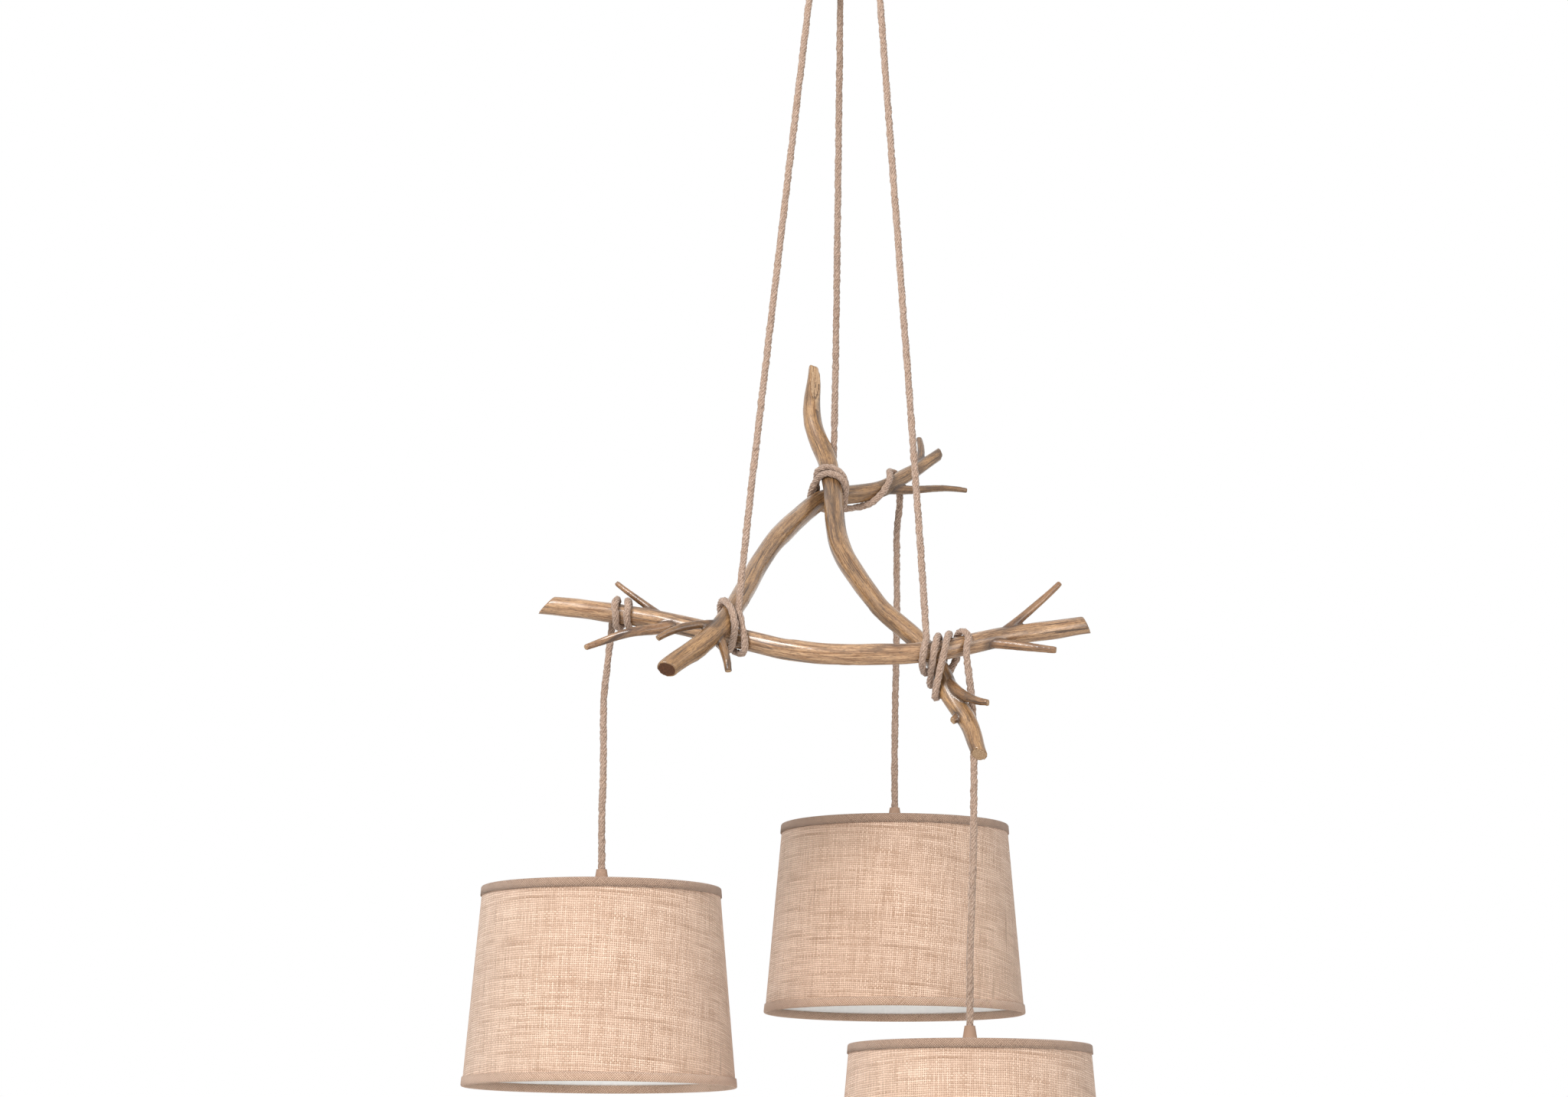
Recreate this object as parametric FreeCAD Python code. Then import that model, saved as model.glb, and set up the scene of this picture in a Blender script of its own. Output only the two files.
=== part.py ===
"""Rustic pendant light: three lashed wooden branches hung on three ropes, with a shaded lamp on each.

Millimetres. The origin is the middle of the canopy on the ceiling plane, +Z up, +Y away from the viewer.
Everything hangs below the ceiling plane.
"""
import FreeCAD, Part
import math
import os

Vector = FreeCAD.Vector
Rotation = FreeCAD.Rotation

# Driving sizes of the ceiling fitting
canopy_diameter = 120.0
canopy_height = 30.0
canopy_wall = 1.2
canopy_edge = 4.0
bracket_length = 102.0
bracket_width = 22.0
bracket_thickness = 2.0
bracket_ear = 14.0
ceiling_screw_spacing = 60.0
ceiling_screw_hole = 5.0
canopy_screw_diameter = 4.0
canopy_screw_head = 8.0
canopy_screw_head_height = 2.0
canopy_screw_end = 3.0
canopy_screw_depth = 9.0
canopy_screw_clearance = 0.06
block_length = 30.0
block_width = 18.0
block_height = 13.0
block_wire_hole = 4.0
block_ways = 3
cord_circle_radius = 44.0
cord_circle_turn = 4.0
grip_across_flats = 17.0
grip_height = 7.0
grip_sleeve_height = 3.8
grip_sleeve_wall = 1.4
grip_clearance = 0.9
stop_across_flats = 14.0
stop_height = 5.0
stop_lift = 4.2
rope_top = 3.0

# Driving sizes of the ropes
rope_diameter = 8.5
rope_sides = 8
rope_clearance = 0.9
arc_share = 0.45
drop_lead = 17.0
flex_gap = 0.3
flex_taper = 0.6
flex_root = 1.5
flex_root_share = 0.85
flex_tip_share = 0.42

# Driving sizes of the frame of branches
frame_span = 600.0
frame_drop = 742.0
frame_aside = -11.0
frame_back = -25.0
frame_tip = 44.4
frame_roll = 5.4
stem_diameter = 22.0
stem_sides = 14
stem_station = 18.0
twig_sides = 8
lash_station = 4.0
crossing_clearance = 1.3
cut_size = 90.0

# Driving sizes of one lamp, the same for all three
shade_bottom_diameter = 300.0
shade_top_diameter = 262.0
shade_height = 217.0
shade_wall = 1.6
hem_height = 10.0
hem_proud = 1.4
spider_drop = 5.0
washer_thickness = 1.6
washer_diameter = 52.0
washer_hole_clearance = 0.3
arm_diameter = 4.0
arm_count = 3
arm_sides = 6
arm_first_angle = 30.0
arm_root = 1.0
arm_gap = 0.5
holder_diameter = 39.0
holder_bore = 27.2
holder_depth = 30.0
holder_length = 46.0
holder_flange_diameter = 46.0
holder_flange_height = 3.0
holder_cap_diameter = 30.0
holder_cap_height = 5.0
holder_cap_taper = 0.7
ring_nut_diameter = 48.0
ring_nut_height = 8.0
ring_nut_clearance = 0.3
cord_cap_base = 17.0
cord_cap_top = 11.4
cord_cap_height = 17.0
bulb_cap_diameter = 26.4
bulb_cap_length = 24.0
bulb_cap_gap = 1.0
bulb_tip_diameter = 12.0
bulb_tip_length = 3.0
bulb_diameter = 60.0
bulb_length = 82.0

# The bulb's outline: shares of its radius and of its length below the cap
bulb_outline_shares = [(0.40, 0.00), (0.48, 0.18), (0.86, 0.44), (1.00, 0.66), (0.86, 0.87), (0.48, 1.00)]

# Where each lamp's shade hangs: sideways from the canopy's middle, and the height of the shade's
# top edge from the frame's datum
lamp_places = {
    "left": {"aside": -262.6, "rim": -350.5},
    "right": {"aside": 137.0, "rim": -522.5},
    "back": {"aside": 64.3, "rim": -253.5},
}

# Each rope's last run off its branch, hand-placed: sideways place, place behind the point where it
# leaves the branch, and height from the frame's datum. The last point is where the cord starts to swing.
rope_tails = {
    "left": [(-256.5, 0.0, -78.0), (-258.6, 0.0, -103.0), (-262.6, 0.0, -138.0), (-262.6, 0.0, -154.0)],
    "right": [(132.8, -0.8, -95.0), (138.6, 2.8, -135.0), (142.5, 4.4, -188.0), (142.0, 4.4, -210.0),
              (142.0, 4.4, -226.0)],
    "back": [(70.4, 0.0, 128.0), (68.5, 0.0, 108.0), (66.5, 0.0, 93.0), (66.5, 0.0, 77.0)],
}

# The swinging cord's two slight bends: share of its lean, share of its length, and what it strays
# sideways and backwards
drop_bends = [(0.3, 0.36, 0.8, 0.6), (0.8, 0.70, -0.6, -0.5)]

# The lashings: the direction in which the strands cross the stems, how far beside the crossing the turns
# start, what they move on in a turn, and their corners, eight to a turn
lashings = {
    "left": {"across": (0.426, -0.905), "offset": 12.0, "pitch": -10.2, "corners": range(1, 15)},
    "right": {"across": (-0.3, -0.954), "offset": -16.5, "pitch": 10.2, "corners": range(0, 23)},
    "back": {"across": (0.97, -0.24), "offset": -5.5, "pitch": -10.2, "corners": range(3, -13, -1)},
}

# Turns round one stem: the flat places beside which they start and stop, and the first corner's angle,
# the step to the next and the number of corners. 90 degrees is in front of the stem, 0 on its upper side.
single_turns = {
    "left": {"start": (-219, -80), "stop": (-242, -73), "first": 247.5, "step": -45, "count": 15},
    "right": {"start": (140, -126.5), "stop": (143.6, -125.1), "first": -67.5, "step": 45, "count": 5},
    "back": {"start": (33, 198), "stop": (80, 238), "first": 247.5, "step": -45, "count": 6},
}

# Corners placed by hand: flat place, angle round the stem and share of the usual stand-off, and for the
# rope's way in behind the back lashing, the places themselves
left_link = [((-160, -95), 342, 1.12), ((-176, -91), 315, 1.10), ((-203, -85), 270, 1.20)]
back_hook = ((93, 255), -22.5, 1.08)
back_nook = [(4, 223, 0), (0.5, 207, -20), (1, 196, -43), (6, 161, -43)]

# Stem centrelines in the frame's own plane, as shares of frame_span, with the lift out of the
# plane in half stacks and the stem's thickness as a share of stem_diameter
long_stem_shares = [
    (-0.548, -0.099, -2.27, 0.93), (-0.525, -0.104, -2.10, 0.94), (-0.403, -0.122, -1.69, 0.98),
    (-0.290, -0.150, -1.33, 1.00), (-0.195, -0.182, -1.00, 1.00), (-0.053, -0.233, -0.27, 1.05),
    (0.085, -0.243, 0.53, 1.06), (0.195, -0.227, 1.00, 1.00), (0.293, -0.187, 1.33, 1.00),
    (0.378, -0.160, 1.60, 0.96), (0.465, -0.135, 1.87, 0.90), (0.487, -0.129, 1.92, 0.88),
]
right_stem_shares = [
    (0.274, -0.452, -2.98, 0.72), (0.268, -0.433, -2.84, 0.76), (0.247, -0.345, -2.40, 0.94),
    (0.215, -0.283, -1.78, 1.04), (0.195, -0.227, -1.00, 1.00), (0.090, -0.067, -0.53, 0.98),
    (0.053, 0.002, -0.18, 1.02), (0.018, 0.087, 0.18, 1.08), (0.002, 0.250, 0.84, 1.00),
    (-0.002, 0.293, 1.00, 1.00), (-0.012, 0.357, 1.42, 1.03), (-0.042, 0.445, 2.93, 0.96),
    (-0.043, 0.525, 4.98, 0.78), (-0.043, 0.558, 5.70, 0.66), (-0.043, 0.570, 5.95, 0.60),
]
left_stem_shares = [
    (-0.312, -0.360, 0.36, 0.98), (-0.302, -0.340, 0.44, 1.00), (-0.255, -0.285, 0.80, 1.04),
    (-0.195, -0.182, 1.00, 1.00), (-0.122, 0.062, 0.33, 0.98), (-0.098, 0.122, 0.09, 1.06),
    (-0.045, 0.235, -0.53, 1.00), (-0.007, 0.293, -1.00, 1.00), (0.065, 0.336, -1.50, 0.95),
    (0.105, 0.364, -1.66, 0.90), (0.137, 0.401, -1.78, 0.84), (0.187, 0.465, -1.91, 0.66),
    (0.219, 0.510, -1.96, 0.60), (0.229, 0.525, -1.97, 0.58),
]

# Twigs: from root to tip in the same shares
long_twig_shares = {
    "upper_left": [(-0.296, -0.150, -1.30, 0.54), (-0.322, -0.128, -1.05, 0.39),
                   (-0.360, -0.097, -0.75, 0.34), (-0.400, -0.060, -0.45, 0.28)],
    "lower_left": [(-0.290, -0.158, -1.25, 0.66), (-0.326, -0.178, -1.15, 0.55),
                   (-0.361, -0.188, -1.20, 0.49), (-0.400, -0.194, -1.89, 0.43),
                   (-0.449, -0.216, -2.50, 0.30)],
    "upper_right": [(0.298, -0.186, 1.40, 0.58), (0.326, -0.163, 2.20, 0.45), (0.359, -0.134, 3.10, 0.40),
                    (0.411, -0.085, 4.70, 0.30)],
    "lower_right": [(0.262, -0.196, 1.15, 0.56), (0.298, -0.205, 1.45, 0.50), (0.345, -0.219, 1.90, 0.45),
                    (0.403, -0.236, 2.40, 0.34)],
}
right_twig_shares = {
    "outer": [(0.205, -0.255, -1.45, 0.78), (0.222, -0.287, -1.10, 0.62), (0.246, -0.322, -0.65, 0.48),
              (0.280, -0.352, 0.09, 0.32)],
    "stub": [(0.238, -0.325, -2.20, 0.54), (0.229, -0.342, -2.28, 0.45), (0.219, -0.353, -2.35, 0.36)],
}
left_twig_shares = {
    "outer": [(-0.205, -0.205, 0.90, 0.56), (-0.232, -0.220, 1.50, 0.46), (-0.270, -0.240, 1.80, 0.42),
              (-0.322, -0.273, 1.33, 0.33)],
    "down": [(-0.215, -0.215, 0.85, 0.60), (-0.207, -0.240, 0.68, 0.48), (-0.198, -0.270, 0.42, 0.43),
             (-0.189, -0.313, -0.27, 0.36)],
    "up": [(0.166, 0.436, -1.87, 0.54), (0.176, 0.463, -1.87, 0.44), (0.182, 0.501, -1.87, 0.41),
           (0.179, 0.556, -1.87, 0.34)],
    "far": [(0.095, 0.356, -1.62, 0.62), (0.118, 0.367, -1.88, 0.52), (0.150, 0.382, -2.30, 0.48),
            (0.205, 0.418, -3.10, 0.38), (0.277, 0.448, -4.00, 0.27)],
}

# Saw cuts at the stems' ends: the row of the stem's table by which the cut goes, the way it faces and how
# far beyond the row's place it lies
saw_cuts = {
    "long": [(1, (-1, 0, 1), 0.0), (-2, (1, 0, 0.5), 0.0)],
    "right": [(1, (-0.2, -0.9, -1), 0.0), (-3, (0.4, -0.8, 0.44), 3.0), (-3, (0.1, 0.2, 1), 12.5)],
    "left": [(1, (-0.3, -0.75, -1), 0.0), (-2, (1, 0.5, 0.1), 0.0)],
}

# Sizes worked out from the ones above
rope_radius = rope_diameter / 2
rope_corner_radius = rope_radius * math.sqrt(2 * math.pi / (rope_sides * math.sin(2 * math.pi / rope_sides)))
stem_radius = stem_diameter / 2
half_stack = stem_radius + crossing_clearance / 2
canopy_floor = -canopy_height + canopy_wall
grip_bore = 2 * (rope_corner_radius + grip_clearance)
grip_sleeve_diameter = grip_bore + 2 * grip_sleeve_wall
frame_turn = Rotation(Vector(1, 0, 0), frame_tip) * Rotation(Vector(0, 1, 0), frame_roll)
frame_place = FreeCAD.Placement(Vector(frame_aside, frame_back, -frame_drop), frame_turn)
down = Vector(0, 0, -1)


def save(shape, node):
    shape.exportStep(f"parts/{node}.step")
    print(f"{node}: {len(shape.Solids)} solid, {shape.Volume / 1000:.2f} cm3, valid {shape.isValid()}")


def in_frame(point):
    return frame_place.multVec(point)


def stem_point(shares):
    return Vector(shares[0] * frame_span, shares[1] * frame_span, shares[2] * half_stack)


def flat(vector):
    """The part of a direction that lies in the frame's plane, one unit long."""
    level = Vector(vector.x, vector.y, 0)
    return level.normalize()


def facing(centre, normal, across):
    """A placement whose Z is the normal and whose X leans towards across."""
    return FreeCAD.Placement(centre, Rotation(across, normal.cross(across), normal, "ZXY"))


def polygon_wire(centre, normal, across, corner_radius, sides):
    corners = []
    for k in range(sides + 1):
        angle = 2 * math.pi * k / sides
        corners.append(Vector(corner_radius * math.cos(angle), corner_radius * math.sin(angle), 0))
    wire = Part.makePolygon(corners)
    wire.Placement = facing(centre, normal, across)
    return wire


def revolved(outline, centre):
    """A solid of revolution about the vertical through centre, from (radius, height) corners."""
    corners = [Vector(radius, 0, height) for radius, height in outline]
    face = Part.Face(Part.makePolygon(corners + corners[:1]))
    solid = face.revolve(Vector(), Vector(0, 0, 1), 360)
    solid.translate(centre)
    return solid


def hexagon(across_flats, height, base):
    corner_radius = across_flats / math.sqrt(3)
    wire = polygon_wire(base, Vector(0, 0, 1), Vector(1, 0, 0), corner_radius, 6)
    return Part.Face(wire).extrude(Vector(0, 0, height))


# Ceiling fitting

def cord_hole_places():
    """Where the three ropes leave the canopy, at the level of its floor."""
    angles = {"back": 90, "left": 210, "right": 330}
    places = {}
    for side, angle in angles.items():
        turned = math.radians(angle + cord_circle_turn)
        places[side] = Vector(cord_circle_radius * math.cos(turned), cord_circle_radius * math.sin(turned),
                              canopy_floor)
    return places


def canopy_screw_height():
    return -bracket_thickness - bracket_ear / 2


def ceiling_bracket():
    """A flat strap against the ceiling, with a tapped ear bent down at each end."""
    half = bracket_length / 2
    strap = Part.makeBox(bracket_length, bracket_width, bracket_thickness,
                         Vector(-half, -bracket_width / 2, -bracket_thickness))
    for side in (-1, 1):
        ear_x = side * (half - bracket_thickness / 2) - bracket_thickness / 2
        ear = Part.makeBox(bracket_thickness, bracket_width, bracket_ear,
                           Vector(ear_x, -bracket_width / 2, -bracket_thickness - bracket_ear))
        strap = strap.fuse(ear)
        hole = Part.makeCylinder(ceiling_screw_hole / 2, bracket_thickness,
                                 Vector(side * ceiling_screw_spacing / 2, 0, -bracket_thickness))
        tapped = Part.makeCylinder(canopy_screw_diameter / 2, bracket_thickness,
                                   Vector(ear_x, 0, canopy_screw_height()), Vector(1, 0, 0))
        strap = strap.cut(hole).cut(tapped)
    return strap.removeSplitter()


def ceiling_canopy():
    """A round pressed cup over the bracket, with three cord holes and two screw holes."""
    outer = canopy_diameter / 2
    inner = outer - canopy_wall
    cup = revolved([(outer, 0), (outer, canopy_edge - canopy_height), (outer - canopy_edge, -canopy_height),
                    (0, -canopy_height), (0, canopy_floor), (inner - canopy_edge, canopy_floor),
                    (inner, canopy_floor + canopy_edge), (inner, 0)], Vector())
    for place in cord_hole_places().values():
        seat = place - Vector(0, 0, canopy_wall)
        cup = cup.cut(Part.makeCylinder(grip_sleeve_diameter / 2, canopy_wall, seat))
    screw_hole = Part.makeCylinder(canopy_screw_diameter / 2, canopy_diameter,
                                   Vector(-outer, 0, canopy_screw_height()), Vector(1, 0, 0))
    return cup.cut(screw_hole)


def canopy_screws():
    """Two side screws that hold the canopy to the bracket's ears."""
    screws = []
    for side in (-1, 1):
        outward = Vector(side, 0, 0)
        seat = Vector(side * canopy_diameter / 2, 0, canopy_screw_height())
        head = Part.makeCylinder(canopy_screw_head / 2, canopy_screw_head_height, seat, outward)
        shank = Part.makeCylinder(canopy_screw_diameter / 2 - canopy_screw_clearance, canopy_screw_depth,
                                  seat, outward * -1)
        screws.append(head.fuse(shank))
    return Part.makeCompound(screws)


def terminal_block():
    """The three-way wire connector under the strap."""
    base = -bracket_thickness - block_height
    block = Part.makeBox(block_length, block_width, block_height,
                         Vector(-block_length / 2, -block_width / 2, base))
    way = block_length / block_ways
    for k in range(block_ways):
        at = Vector(-block_length / 2 + way * (k + 1 / 2), -block_width / 2, base + block_height / 2)
        block = block.cut(Part.makeCylinder(block_wire_hole / 2, block_width, at, Vector(0, 1, 0)))
    return block


def cord_grips():
    """Three hexagonal grips in the canopy's floor, each with a smooth throat for its rope."""
    grips = []
    for place in cord_hole_places().values():
        seat = place - Vector(0, 0, canopy_wall)
        body = hexagon(grip_across_flats, grip_height, seat - Vector(0, 0, grip_height))
        sleeve = Part.makeCylinder(grip_sleeve_diameter / 2, canopy_wall + grip_sleeve_height, seat)
        throat = Part.makeCylinder(grip_bore / 2, grip_height + canopy_wall + grip_sleeve_height,
                                   seat - Vector(0, 0, grip_height))
        grips.append(body.fuse(sleeve).cut(throat))
    return Part.makeCompound(grips)


def cord_stops():
    """Three clamped collars that keep the ropes from slipping through their grips."""
    stops = []
    for place in cord_hole_places().values():
        base = place + Vector(0, 0, grip_sleeve_height + stop_lift)
        collar = hexagon(stop_across_flats, stop_height, base)
        stops.append(collar.cut(Part.makeCylinder(rope_corner_radius, stop_height, base)))
    return Part.makeCompound(stops)


# Branches

def stem_line(shares, station):
    """Places along a smooth curve through the rows, with the heading and the radius at each."""
    points = [stem_point(row) for row in shares]
    curve = Part.BSplineCurve()
    curve.interpolate(points)
    marks = [curve.parameter(point) for point in points]
    length = curve.length()
    count = int(length / station) + 1
    line = []
    for k in range(count + 1):
        mark = curve.parameterAtDistance(length * k / count, curve.FirstParameter)
        row = max(i for i in range(len(marks) - 1) if i == 0 or marks[i] <= mark)
        share = (mark - marks[row]) / (marks[row + 1] - marks[row])
        radius = stem_radius * (shares[row][3] * (1 - share) + shares[row + 1][3] * share)
        line.append((curve.value(mark), curve.tangent(mark)[0], radius))
    return line


def tube_loft(shares, sides, across):
    """A stem or twig lofted through many-sided sections square to its centreline."""
    wires = []
    for point, heading, radius in stem_line(shares, stem_station):
        wires.append(polygon_wire(in_frame(point), frame_turn.multVec(heading), across, radius, sides))
    return Part.makeLoft(wires, True, True)


def sawn(solid, at, outward, beyond):
    """The solid without what lies past a saw cut that passes the point at by a given distance."""
    outward.normalize()
    waste = Part.makeCylinder(cut_size, cut_size, at + outward * beyond, outward)
    return solid.cut(waste)


def branch(stem_shares, twig_shares, cuts, across):
    solid = tube_loft(stem_shares, stem_sides, across)
    for row, outward, beyond in cuts:
        solid = sawn(solid, in_frame(stem_point(stem_shares[row])), Vector(*outward), beyond)
    for row in twig_shares.values():
        solid = solid.fuse(tube_loft(row, twig_sides, across))
    return solid.removeSplitter()


def branch_long():
    return branch(long_stem_shares, long_twig_shares, saw_cuts["long"], Vector(0, 0, 1))


def branch_right():
    return branch(right_stem_shares, right_twig_shares, saw_cuts["right"], Vector(1, 0, 0))


def branch_left():
    return branch(left_stem_shares, left_twig_shares, saw_cuts["left"], Vector(1, 0, 0))


# Ropes

def crossing_place(line, middle, across, beside, shift, aside_share):
    """Where a strand square to beside passes at a share of the lashing's radius from a stem's centreline:
    how far along the strand, at what height, and the lashing's radius there."""
    trail = []
    for point, heading, radius in line:
        square = Vector(-heading.y, heading.x, 0).normalize()
        if square.dot(across) < 0:
            square = square * -1
        wrap = radius + rope_corner_radius + rope_clearance
        trail.append((point + square * (wrap * aside_share), wrap))
    places = []
    for (point, wrap), (after, _) in zip(trail, trail[1:]):
        start = (point - middle).dot(beside) - shift
        end = (after - middle).dot(beside) - shift
        if start * end <= 0 and start != end:
            place = point + (after - point) * (start / (start - end))
            slide = (place - middle).dot(across)
            places.append((abs(slide), slide, place.z, wrap))
    return min(places)[1:]


def crossing_corners(side, middle, over, under):
    """Corners of turns round two crossed stems: over the front stem, down one side, behind the back stem
    and up the other side. Eight corners make a turn, and a ninth and tenth keep the strand clear of
    whichever stem stands further out on each side."""
    lashing = lashings[side]
    across = Vector(*lashing["across"], 0)
    beside = Vector(-across.y, across.x, 0)
    steps = lashing["corners"]
    low = math.tan(math.pi / 8)

    def corner(step, in_front, side, aside_share, level):
        shift = lashing["offset"] + lashing["pitch"] * step / 8
        stem = over if in_front else under
        slide, height, wrap = crossing_place(stem, middle, across, beside, shift, side * aside_share)
        lift = height + wrap * level * (1 if in_front else -1)
        return slide, Vector(middle.x, middle.y, lift) + across * slide + beside * shift

    corners = []
    for k, following in zip(steps, list(steps)[1:] + [None]):
        in_front = k % 8 in (0, 1, 2, 7)
        side = 1 if k % 8 in (1, 2, 3, 4) else -1
        on_face = k % 8 in (0, 1, 4, 5)
        place, point = corner(k, in_front, side, low if on_face else 1, 1 if on_face else low)
        corners.append(point)
        if following is not None and (k % 8, following % 8) in ((2, 3), (3, 2), (6, 7), (7, 6)):
            next_place, _ = corner(following, not in_front, side, 1, low)
            if (place - next_place) * side > rope_clearance:
                corners.append(corner(k + (following - k) / 3, in_front, side, 1, -low)[1])
            elif (next_place - place) * side > rope_clearance:
                corners.append(corner(k + (following - k) * 2 / 3, not in_front, side, 1, -low)[1])
    return corners


def stem_side(line, near, angle, stand_off):
    """A point beside a stem, square to it at the station nearest to near. An angle of 90 degrees is in
    front of the stem, 0 is on its upper side."""
    point, heading, radius = min(line, key=lambda station: Vector(station[0].x, station[0].y, 0)
                                 .distanceToPoint(Vector(near[0], near[1], 0)))
    upper = Vector(-heading.y, heading.x, 0).normalize()
    if upper.y < 0:
        upper = upper * -1
    front = upper.cross(heading) if upper.cross(heading).z > 0 else heading.cross(upper)
    turned = math.radians(angle)
    wrap = radius + rope_corner_radius + rope_clearance
    return point + (upper * math.cos(turned) + front * math.sin(turned)) * (wrap * stand_off)


def stem_wrap(line, start, stop, first, step, count):
    """Corners of turns round one stem, from beside one flat place to beside another."""
    stand_off = 1 / math.cos(math.pi / 8)
    corners = []
    for k in range(count):
        share = k / (count - 1)
        near = (start[0] + (stop[0] - start[0]) * share, start[1] + (stop[1] - start[1]) * share)
        corners.append(stem_side(line, near, first + step * k, stand_off))
    return corners


def rope_start(side):
    """The rope's run down through its collar and grip."""
    hole = cord_hole_places()[side]
    top = hole + Vector(0, 0, grip_sleeve_height + stop_lift + stop_height + rope_top)
    below = hole - Vector(0, 0, canopy_wall + grip_height + rope_diameter)
    return [top, below]


def rope_end(side, hang):
    """The last run down off the branch."""
    return [Vector(aside, hang + behind, height - frame_drop) for aside, behind, height in rope_tails[side]]


def rope_route(side, corners):
    lead = [in_frame(point) for point in corners]
    return rope_start(side) + lead + rope_end(side, lead[-1].y)


def left_rope_route():
    turns = crossing_corners("left", stem_point(left_stem_shares[3]), left_line, long_line)
    link = [stem_side(long_line, *corner) for corner in left_link]
    return rope_route("left", turns + link + stem_wrap(long_line, **single_turns["left"]))


def right_rope_route():
    turns = crossing_corners("right", stem_point(right_stem_shares[4]), long_line, right_line)
    return rope_route("right", turns + stem_wrap(long_line, **single_turns["right"]))


def back_rope_route():
    nook = [Vector(*corner) for corner in back_nook]
    turns = crossing_corners("back", stem_point(right_stem_shares[9]), right_line, left_line)
    spiral = stem_wrap(left_line, **single_turns["back"]) + [stem_side(left_line, *back_hook)]
    return rope_route("back", nook + turns + spiral)


long_line = stem_line(long_stem_shares, lash_station)
right_line = stem_line(right_stem_shares, lash_station)
left_line = stem_line(left_stem_shares, lash_station)
rope_routes = {"left": left_rope_route(), "right": right_rope_route(), "back": back_rope_route()}


def lamp_rim(side):
    """The middle of the shade's top edge."""
    place = lamp_places[side]
    return Vector(place["aside"], rope_routes[side][-1].y, place["rim"] - frame_drop)


def drop_route(side):
    """The cord from where it starts to swing down into the lamp's cord cap."""
    top = rope_routes[side][-1]
    end = lamp_rim(side) + Vector(0, 0, cord_cap_tip())
    bends = []
    for lean, fall, aside, behind in drop_bends:
        bends.append(top + Vector((end.x - top.x) * lean + aside, behind, (end.z - top.z) * fall))
    return [top, top + down * drop_lead] + bends + [end - down * drop_lead, end]


def tube_path(points, name):
    """Straight runs joined by tangent arcs as large as the runs allow."""
    edges = []
    radii = []
    start = points[0]
    for before, corner, after in zip(points, points[1:], points[2:]):
        arriving = (corner - before).normalize()
        leaving = (after - corner).normalize()
        half_turn = arriving.getAngle(leaving) / 2
        reach = arc_share * min(corner.distanceToPoint(before), corner.distanceToPoint(after))
        radius = reach / math.tan(half_turn)
        inward = (leaving - arriving).normalize()
        first = corner - arriving * reach
        last = corner + leaving * reach
        middle = corner + inward * (radius / math.cos(half_turn) - radius)
        edges.append(Part.LineSegment(start, first).toShape())
        edges.append(Part.Arc(first, middle, last).toShape())
        radii.append(radius)
        start = last
    edges.append(Part.LineSegment(start, points[-1]).toShape())
    print(f"{name}: arc radii", " ".join(f"{radius:.0f}" for radius in radii))
    return Part.Wire(edges)


def least_self_gap(path, name):
    """The smallest gap between two parts of a tube that lie more than three diameters apart along it."""
    count = int(path.Length / (rope_diameter / 4))
    points = path.discretize(Number=count)
    step = path.Length / (count - 1)
    apart = int(3 * rope_diameter / step) + 1
    least = path.Length
    for k, point in enumerate(points):
        for other in points[k + apart:]:
            least = min(least, point.distanceToPoint(other))
    print(f"{name}: length {path.Length:.0f}, least gap to itself {least - 2 * rope_corner_radius:.2f}")


def tube(points, name):
    path = tube_path(points, name)
    least_self_gap(path, name)
    section = polygon_wire(points[0], (points[1] - points[0]).normalize(), Vector(1, 0, 0), rope_corner_radius,
                           rope_sides)
    solid = path.makePipeShell([section], True, False)
    area = math.pi * rope_radius ** 2
    print(f"{name}: volume over section times length {solid.Volume / (area * path.Length):.4f}")
    return solid


def flex_end(at, outward):
    """The tapered tip that a swinging cord turns on, rooted a little way inside the cord."""
    across = Vector(1, 0, 0)
    wide = polygon_wire(at - outward * flex_root, outward, across, rope_radius * flex_root_share, rope_sides)
    narrow = polygon_wire(at + outward * flex_taper, outward, across, rope_radius * flex_tip_share, rope_sides)
    return Part.makeLoft([wide, narrow], True, True)


def rope(side):
    """One unbroken rope: down from the canopy, round its crossing, along a branch and off it."""
    points = rope_routes[side]
    points = points[:-1] + [points[-1] - down * (flex_taper + flex_gap)]
    return tube(points, f"rope_{side}")


def drop_cord(side):
    points = drop_route(side)
    solid = tube(points, f"drop_cord_{side}")
    return solid.fuse([flex_end(points[0], Vector(0, 0, 1)), flex_end(points[-1], down)])


# Lamps. Heights below are from the shade's top edge.

def cord_cap_tip():
    """Height of the point that the lamp tips about, just above its cord cap."""
    return cap_base_height() + cord_cap_height + flex_taper + flex_gap


def cap_base_height():
    return -spider_drop + holder_flange_height + holder_cap_height


def washer_top():
    return -spider_drop


def shade_wall_radius(height):
    """Outer radius of the plain wall at a height below the top edge."""
    share = -height / shade_height
    top = shade_top_diameter / 2 - hem_proud
    bottom = shade_bottom_diameter / 2 - hem_proud
    return top + (bottom - top) * share


def shade(rim):
    """The laminated cone with a hem rolled round a wire at each edge."""
    outline = []
    for start, end in ((0, -hem_height), (-shade_height + hem_height, -shade_height)):
        outline.append((shade_wall_radius(start) + hem_proud, start))
        outline.append((shade_wall_radius(end) + hem_proud, end))
    outline.insert(2, (shade_wall_radius(-hem_height), -hem_height))
    outline.insert(3, (shade_wall_radius(hem_height - shade_height), hem_height - shade_height))
    outline.append((shade_wall_radius(-shade_height) - shade_wall, -shade_height))
    outline.append((shade_wall_radius(0) - shade_wall, 0))
    return revolved(outline, rim)


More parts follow.
